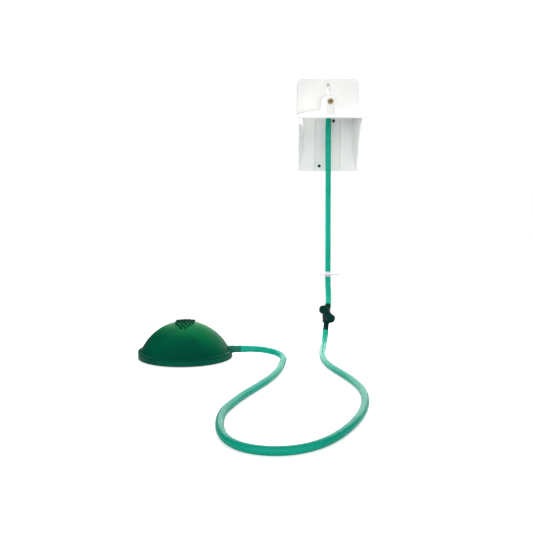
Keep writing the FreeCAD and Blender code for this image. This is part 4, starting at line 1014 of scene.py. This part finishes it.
@dataclass
class Stopcock:
    """The inline stopcock: a barrel across two hose sockets, and a wing handle with two lobes."""

    half: float = 36.0
    barrel: float = 9.5
    barrel_half: float = 9.0
    socket: float = 6.2
    lobe: float = 9.5
    lobe_off: float = 13.6
    waist: float = 7.2
    thick: float = 8.0
    turn: float = 35.0

    def frames(self, joint: dict) -> tuple[Array, Array]:
        """The body's frame, +Z back up the hose and +Y towards the wall, and the handle's, turned in it."""
        slope = np.array([-9.0, -55.0, -46.0])
        front = np.array(joint["axis"])
        up = -slope / np.linalg.norm(slope)
        body = frame_at(joint["pos_m"], up, np.cross(-front, up))
        angle = -math.radians(self.turn)
        spin = np.eye(4)
        spin[:3, :3] = [[math.cos(angle), 0, math.sin(angle)], [0, 1, 0], [-math.sin(angle), 0, math.cos(angle)]]
        return body, body @ spin

    def body(self, frame: Array) -> bpy.types.Object:
        """The body: sockets with stepped rims, a barrel, all melted together, then bored."""
        half, wide = self.half, self.socket
        rims = [(0, -half, 0), (wide + 0.1, -half, 0.7), (wide + 0.1, -half + 5, 0.5), (wide - 0.5, -half + 6, 0.5),
                (wide - 0.3, -13, 0.6), (wide + 1.1, -9, 1.5), (wide + 1.1, 9, 1.5), (wide - 0.3, 13, 0.6),
                (wide - 0.5, half - 6, 0.5), (wide + 0.1, half - 5, 0.5), (wide + 0.1, half, 0.7), (0, half, 0)]
        sockets = lathe(rounded(rims, ring=False), frame)
        across = frame @ frame_at((0, 0, 0), (0, -1, 0))
        end, r = self.barrel_half, self.barrel
        drum = [(0, -end, 0), (r, -end, 0.6), (r, -end + 2, 0.4), (r - 0.6, -end + 3, 0.4), (r - 0.6, end - 3, 0.4),
                (r, end - 2, 0.4), (r, end, 0.5), (0, end, 0)]
        barb = [(0, -half - 8, 0), (3.3, -half - 8, 0.2), (3.95, -half - 5, 0.2), (3.5, -half - 4.8, 0), (3.95, -half - 1, 0),
                (3.6, -half + 2, 0), (3.6, half - 2, 0), (3.95, half + 1, 0), (3.5, half + 4.8, 0), (3.95, half + 5, 0.2),
                (3.3, half + 8, 0.2), (0, half + 8, 0)]
        shells = [sockets, lathe(rounded(drum, ring=False), across), lathe(rounded(barb, ring=False), frame)]
        obj = moulded(raw_object("stopcock_body", shells), 0.55 * MM, 3)
        way = [(0, -60, 0), (3, -60, 0), (3, 60, 0), (0, 60, 0)]
        seat = [(0, -30, 0), (6.05, -30, 0), (6.05, 30, 0), (0, 30, 0)]
        return combine(obj, [lathe(rounded(way, ring=False), frame), lathe(rounded(seat, ring=False), across)])

    def handle(self, frame: Array) -> bpy.types.Object:
        """The handle: the outline at each angle is the farthest of the two lobes, the hub and the web."""
        angle = np.linspace(0, TAU, 160, endpoint=False)
        along, across = np.abs(np.cos(angle)), np.abs(np.sin(angle))
        inside = np.clip(self.lobe**2 - (self.lobe_off * across) ** 2, 0, None)
        lobes = np.where(inside > 0, self.lobe_off * along + np.sqrt(inside), 0)
        web = np.minimum(self.waist / np.clip(across, 1e-3, None), self.lobe_off / np.clip(along, 1e-3, None))
        reach = np.maximum(np.maximum(lobes, web), self.waist + 0.4)
        for _ in range(6):
            reach = (np.roll(reach, 1) + 2 * reach + np.roll(reach, -1)) / 4
        outline = np.stack([reach * np.sin(angle), reach * np.cos(angle)], 1) * MM
        base = self.barrel_half + 0.4
        top = base + self.thick
        profile = [(0.6, base, 0), (0, base + 0.7, 0.5), (0, top - 1.4, 0.8), (1.4, top, 1.0), (2.6, top, 0.4),
                   (3.2, top - 0.7, 0.3), (5.0, top - 0.7, 0)]
        flat = frame @ frame_at((0, 0, 0), (0, -1, 0))
        level = rounded(profile, ring=False)
        obj = raw_object("stopcock_wing_handle", [cushion(outline[::-1], level, flat)])
        seat = [(0, -2, 0), (6.05, -2, 0), (6.05, base + 5, 0), (0, base + 5, 0)]
        button = [(0, top - 1.5, 0), (4.2, top - 1.5, 0), (4.2, top - 0.1, 0.5), (0, top + 0.2, 0)]
        combine(obj, [lathe(rounded(button, ring=False), flat, segments=48)], "UNION")
        return combine(obj, [lathe(rounded(seat, ring=False), flat, segments=48)])

    def build(self, joint: dict) -> None:
        """Body, handle and what turns inside."""
        body, spun = self.frames(joint)
        dress(self.body(body), VALVE_PLASTIC, "station", ("valve_body",), crease=45)
        dress(self.handle(spun), VALVE_PLASTIC, "valve_key", ("valve_handle",), crease=35)
        keep_nodes(VALVE_PLASTIC, ["valve_plug"])
        keep_nodes(SEAL_RUBBER, ["plug_seals"])
        keep_nodes(BRIGHT_STEEL, ["plug_clip"])


# ------------------------------------------------------------------ spray head


@dataclass
class SprayHead:
    """The drench head: a tinted dome with rubber nozzles, closed below by a ring, a plate and screws."""

    cap: float = 91.0
    sink: float = 22.5
    shell: float = 2.5
    flange: float = 89.0
    flange_top: float = 14.0
    flange_low: float = 11.4
    ring_foot: float = 1.0
    pitch: float = 8.0
    row: float = 7.0
    oval: tuple[float, float] = (20.0, 36.0)
    proud: float = 3.0
    stub_heading: float = 4.0
    stub: tuple[float, float] = (62.0, 105.0)

    def place(self) -> Array:
        """The head's own frame: its axis on the floor."""
        low, high = (np.array(c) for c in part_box("base_ring"))
        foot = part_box("rubber_feet")[0].z
        return frame_at(((low[0] + high[0]) / 2, (low[1] + high[1]) / 2, foot), (0, 0, 1))

    def arc(self, radius: float, low: float, steps: int) -> list[tuple[float, float, float]]:
        """Points of a sphere's section from its crown down to a level, with no rounding."""
        end = math.acos((low + self.sink) / radius)
        return [(radius * math.sin(a), radius * math.cos(a) - self.sink, 0) for a in np.linspace(0, end, steps)]

    def dome(self, frame: Array) -> bpy.types.Object:
        """The dome: sphere section, fillet, flange with a groove under its top, and the inside of the shell."""
        outer = self.arc(self.cap, self.flange_top + 1.6, 72)
        out, top, low = self.flange, self.flange_top, self.flange_low
        r = math.sqrt(self.cap**2 - (top + self.sink) ** 2)
        rim = [(r + 0.2, top, 1.6), (out - 0.1, top, 0.9), (out, low + 0.9, 0.4), (out - 0.8, low + 0.1, 0.3), (out - 4, low, 0)]
        inner = self.arc(self.cap - self.shell, low, 60)[::-1]
        profile = rounded(outer + rim + inner, ring=False)
        obj = raw_object("tinted_dome", [lathe(profile, frame, segments=192)])
        hole = [(0, 66, 0), (7.05, 66, 0), (7.05, 120, 0), (0, 120, 0)]
        return combine(obj, [lathe(rounded(hole, ring=False), self.stub_frame(frame))])

    def stub_frame(self, frame: Array) -> Array:
        """A frame whose +Z runs out along the inlet stub."""
        heading = math.radians(self.stub_heading)
        place = frame[:3, 3] + np.array([0, 0, self.flange_top * MM])
        return frame_at(place, (math.cos(heading), math.sin(heading), 0), (0, 0, 1))

    def nozzles(self) -> Array:
        """The nozzles' places, in millimetres: staggered rows inside an oval over the crown."""
        wide, long = self.oval
        rows = int(long / self.row)
        number, column = np.meshgrid(np.arange(-rows, rows + 1), np.arange(-3, 4), indexing="ij")
        across = column * self.pitch + np.where(number % 2 == 1, self.pitch / 2, 0.0)
        along = number * self.row
        inside = (across / wide) ** 2 + (along / long) ** 2 <= 1
        return np.stack([across[inside], along[inside]], 1)

    def nozzle_mat(self, frame: Array) -> bpy.types.Object:
        """One rubber piece: a mat under the crown with a rounded, pierced nub in every hole."""
        wide, long = self.oval[0] + 5, self.oval[1] + 5
        rho, turn = np.meshgrid(np.linspace(0, 1, 14), np.linspace(0, TAU, 96, endpoint=False), indexing="ij")
        x, y = wide * rho * np.cos(turn), long * rho * np.sin(turn)
        top = self.cap - self.shell - 0.05
        skins = [np.stack([x, y, np.sqrt(r**2 - x**2 - y**2) - self.sink], -1) for r in (top, top - 1.6)]
        rows = np.concatenate([skins[0], skins[1][::-1]])
        mat = Shell(rows.reshape(-1, 3) * MM, grid_quads(len(rows), 96, False, True)).moved(frame).outward()
        shells = [mat]
        for a, b in self.nozzles():
            low = math.sqrt((top - 0.8) ** 2 - a * a - b * b) - self.sink
            high = math.sqrt(self.cap**2 - a * a - b * b) - self.sink + self.proud
            nub = [(0, low, 0), (2.0, low, 0), (1.95, high - 1.6, 0.3), (1.44, high, 0.7), (0.6, high, 0.2),
                   (0.5, high - 1.2, 0.1), (0, high - 1.3, 0)]
            here = np.eye(4)
            here[:2, 3] = a * MM, b * MM
            shells.append(lathe(rounded(nub, ring=False, steps=2), frame @ here, segments=14))
        return raw_object("nozzle_mat", shells)

    def ring(self, frame: Array) -> bpy.types.Object:
        """The base ring: a rounded skirt with a shadow groove under the flange and an inward step."""
        r, low, top = self.flange, self.ring_foot, self.flange_low
        profile = [(r - 12, low + 4, 0.3), (r - 3, low + 4, 0.3), (r - 3, low, 0.3), (r - 0.2, low, 0.9), (r, top - 1.6, 0.4),
                   (r - 0.9, top - 0.9, 0.3), (r - 0.9, top - 0.1, 0.1), (r - 12, top - 0.1, 0.2)]
        obj = raw_object("spray_base_ring", [lathe(rounded(profile), frame, ring=True, segments=192)])
        hole = [(0, 70, 0), (7.2, 70, 0), (7.2, 110, 0), (0, 110, 0)]
        return combine(obj, [lathe(rounded(hole, ring=False), self.stub_frame(frame))])

    def inlet_stub(self, frame: Array) -> bpy.types.Object:
        """The inlet stub: a tube with a bead against the dome and a stepped mouth for the hose."""
        start, end = self.stub
        profile = [(3, start, 0), (7, start, 0.3), (7, 86.5, 0), (7.4, 88.2, 0.5), (7.4, 90.2, 0.5), (6.9, 91.5, 0.5),
                   (6.7, end - 4, 0.5), (7.0, end - 3, 0.4), (7.0, end, 0.6), (3, end, 0)]
        return raw_object("spray_inlet_stub", [lathe(rounded(profile), self.stub_frame(frame), ring=True)])

    def feet(self, frame: Array) -> bpy.types.Object:
        """Four round rubber feet, domed a little underneath."""
        profile = rounded([(0, 0, 0), (5.6, 0, 0.6), (7, 0.5, 0.4), (7, 1.6, 0.1), (0, 1.6, 0)], ring=False)
        places = [math.radians(45 + 90 * k) for k in range(4)]
        shells = []
        for a in places:
            here = np.eye(4)
            here[:2, 3] = 58 * MM * math.cos(a), 58 * MM * math.sin(a)
            shells.append(lathe(profile, frame @ here, segments=40))
        return raw_object("rubber_foot_set", shells)

    def build(self) -> None:
        """Every piece of the head."""
        frame = self.place()
        # The painted highlight on the dome: centred above the crown, 8 mm towards the room, in the crown colour given
        # below.
        crown = frame[:3, 3] + np.array([0, -8 * MM, (self.cap - self.sink) * MM])
        shell = DomeHighlightFinish("tinted_dome_shell", Slot.DOME, (0.0, 0.088, 0.042), (0.0, 0.062, 0.036), roughness=0.36,
                           patches=11.0, relief=0.00003, scuffs=0.25, scatter=0.25, scatter_radius=(0.1, 1.0, 0.5),
                           scatter_depth=0.006, shine=0.015, crown=(0.0, 0.15, 0.045), centre=tuple(crown))
        ring = Finish("dark_green_ring", Slot.DOME, (0.0, 0.085, 0.05), (0.0, 0.07, 0.045), roughness=0.34, shine=0.04)
        dress(self.dome(frame), shell, "spray_head", ("dome_shell",))
        dress(self.nozzle_mat(frame), NOZZLE_RUBBER, "spray_head", ("spray_nozzles",))
        dress(self.ring(frame), ring, "spray_head", ("base_ring",))
        dress(self.inlet_stub(frame), STUB_PLASTIC, "spray_head", ("head_inlet_stub",))
        dress(self.feet(frame), SEAL_RUBBER, "spray_head", ("rubber_feet",))
        keep_nodes(ring, ["base_plate", "nozzle_retainer", "stub_nut"])
        keep_nodes(SEAL_RUBBER, ["base_gasket", "stub_gasket"])
        keep_nodes(BRIGHT_STEEL, ["base_screws"])


# ------------------------------------------------------------------ studio


@dataclass
class Studio:
    """Pale floor, white surroundings, soft lights and the camera."""

    eye: tuple[float, float, float] = (-131.4 * MM, -1743.3 * MM, -118.9 * MM)
    down: float = 6.088
    lens: float = 53.96
    floor: float = -450 * MM

    def ground(self) -> None:
        """A wide pale floor under the object."""
        mesh = bpy.data.meshes.new("studio_floor")
        wide = 40.0
        corners = [(-wide, -wide), (wide, -wide), (wide, wide), (-wide, wide)]
        mesh.from_pydata([(x, y, self.floor - 0.0004) for x, y in corners], [], [(0, 1, 2, 3)])
        obj = bpy.data.objects.new("studio_floor", mesh)
        bpy.context.scene.collection.objects.link(obj)
        made = bpy.data.materials.new("studio_floor")
        made.use_nodes = True
        shader = made.node_tree.nodes["Principled BSDF"]
        shader.inputs["Base Color"].default_value = (0.92, 0.92, 0.92, 1)
        shader.inputs["Roughness"].default_value = 0.7
        shader.inputs["Emission Color"].default_value = (1, 1, 1, 1)
        bench = Bench(made.node_tree)
        seen = bench.add("ShaderNodeLightPath").outputs["Is Camera Ray"]
        made.node_tree.links.new(bench.calc("MULTIPLY", seen, 0.5), shader.inputs["Emission Strength"])
        mesh.materials.append(made)

    def lamp(self, name: str, place: tuple, aim: tuple, size: float, power: float) -> None:
        """A square soft light at a place, turned to a point."""
        light = bpy.data.lights.new(name, "AREA")
        light.size, light.energy = size, power
        obj = bpy.data.objects.new(name, light)
        bpy.context.scene.collection.objects.link(obj)
        frame = frame_at(place, np.array(place) - np.array(aim))
        obj.matrix_world = [list(row) for row in frame]

    def surroundings(self) -> None:
        """A white world: full white where it is seen; as a light it is a bright front and a dim back."""
        world = bpy.data.worlds.new("studio_white")
        bpy.context.scene.world = world
        world.use_nodes = True
        world.node_tree.nodes.clear()
        bench = Bench(world.node_tree)
        seen = bench.add("ShaderNodeLightPath").outputs["Is Camera Ray"]
        toward = bench.add("ShaderNodeSeparateXYZ", {0: bench.add("ShaderNodeTexCoord").outputs["Generated"]})
        glow = bench.spread(toward.outputs[1], -1.0, 0.4, 1.6, 0.12)
        strength = bench.calc("ADD", bench.calc("MULTIPLY", seen, 1.05),
                              bench.calc("MULTIPLY", bench.spread(seen, 0.0, 1.0, 1.0, 0.0), glow))
        shader = bench.add("ShaderNodeBackground", {"Color": (1, 1, 1, 1), "Strength": strength})
        result = bench.add("ShaderNodeOutputWorld")
        world.node_tree.links.new(shader.outputs[0], result.inputs["Surface"])

    def camera(self) -> None:
        """The camera, level from side to side and tipped down a little."""
        data = bpy.data.cameras.new("camera")
        data.lens, data.sensor_width = self.lens, 36.0
        obj = bpy.data.objects.new("camera", data)
        bpy.context.scene.collection.objects.link(obj)
        obj.location = self.eye
        obj.rotation_euler = (math.radians(90 - self.down), 0, 0)
        bpy.context.scene.camera = obj

    def build(self) -> None:
        """The whole studio."""
        self.ground()
        self.lamp("key", (0.8, -2.1, 0.55), (-0.05, -0.2, -0.2), 1.0, 8)
        self.surroundings()
        self.camera()
        bpy.context.scene.view_settings.view_transform = "Standard"


def main() -> None:
    """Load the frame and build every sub-assembly around it."""
    for leftover in list(bpy.data.objects):
        bpy.data.objects.remove(leftover)
    logging.basicConfig(level=logging.INFO, format="%(message)s")
    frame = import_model()
    joints = {joint["name"]: joint for joint in frame["joints"]}
    Studio().build()
    Hoses().build()
    Bracket().build()
    Fixings().build()
    Waterway().build()
    StopDisc().build(joints["disc_slide"]["axis"])
    Stopcock().build(joints["key_turn"])
    SprayHead().build()


if __name__ == "__main__":
    main()
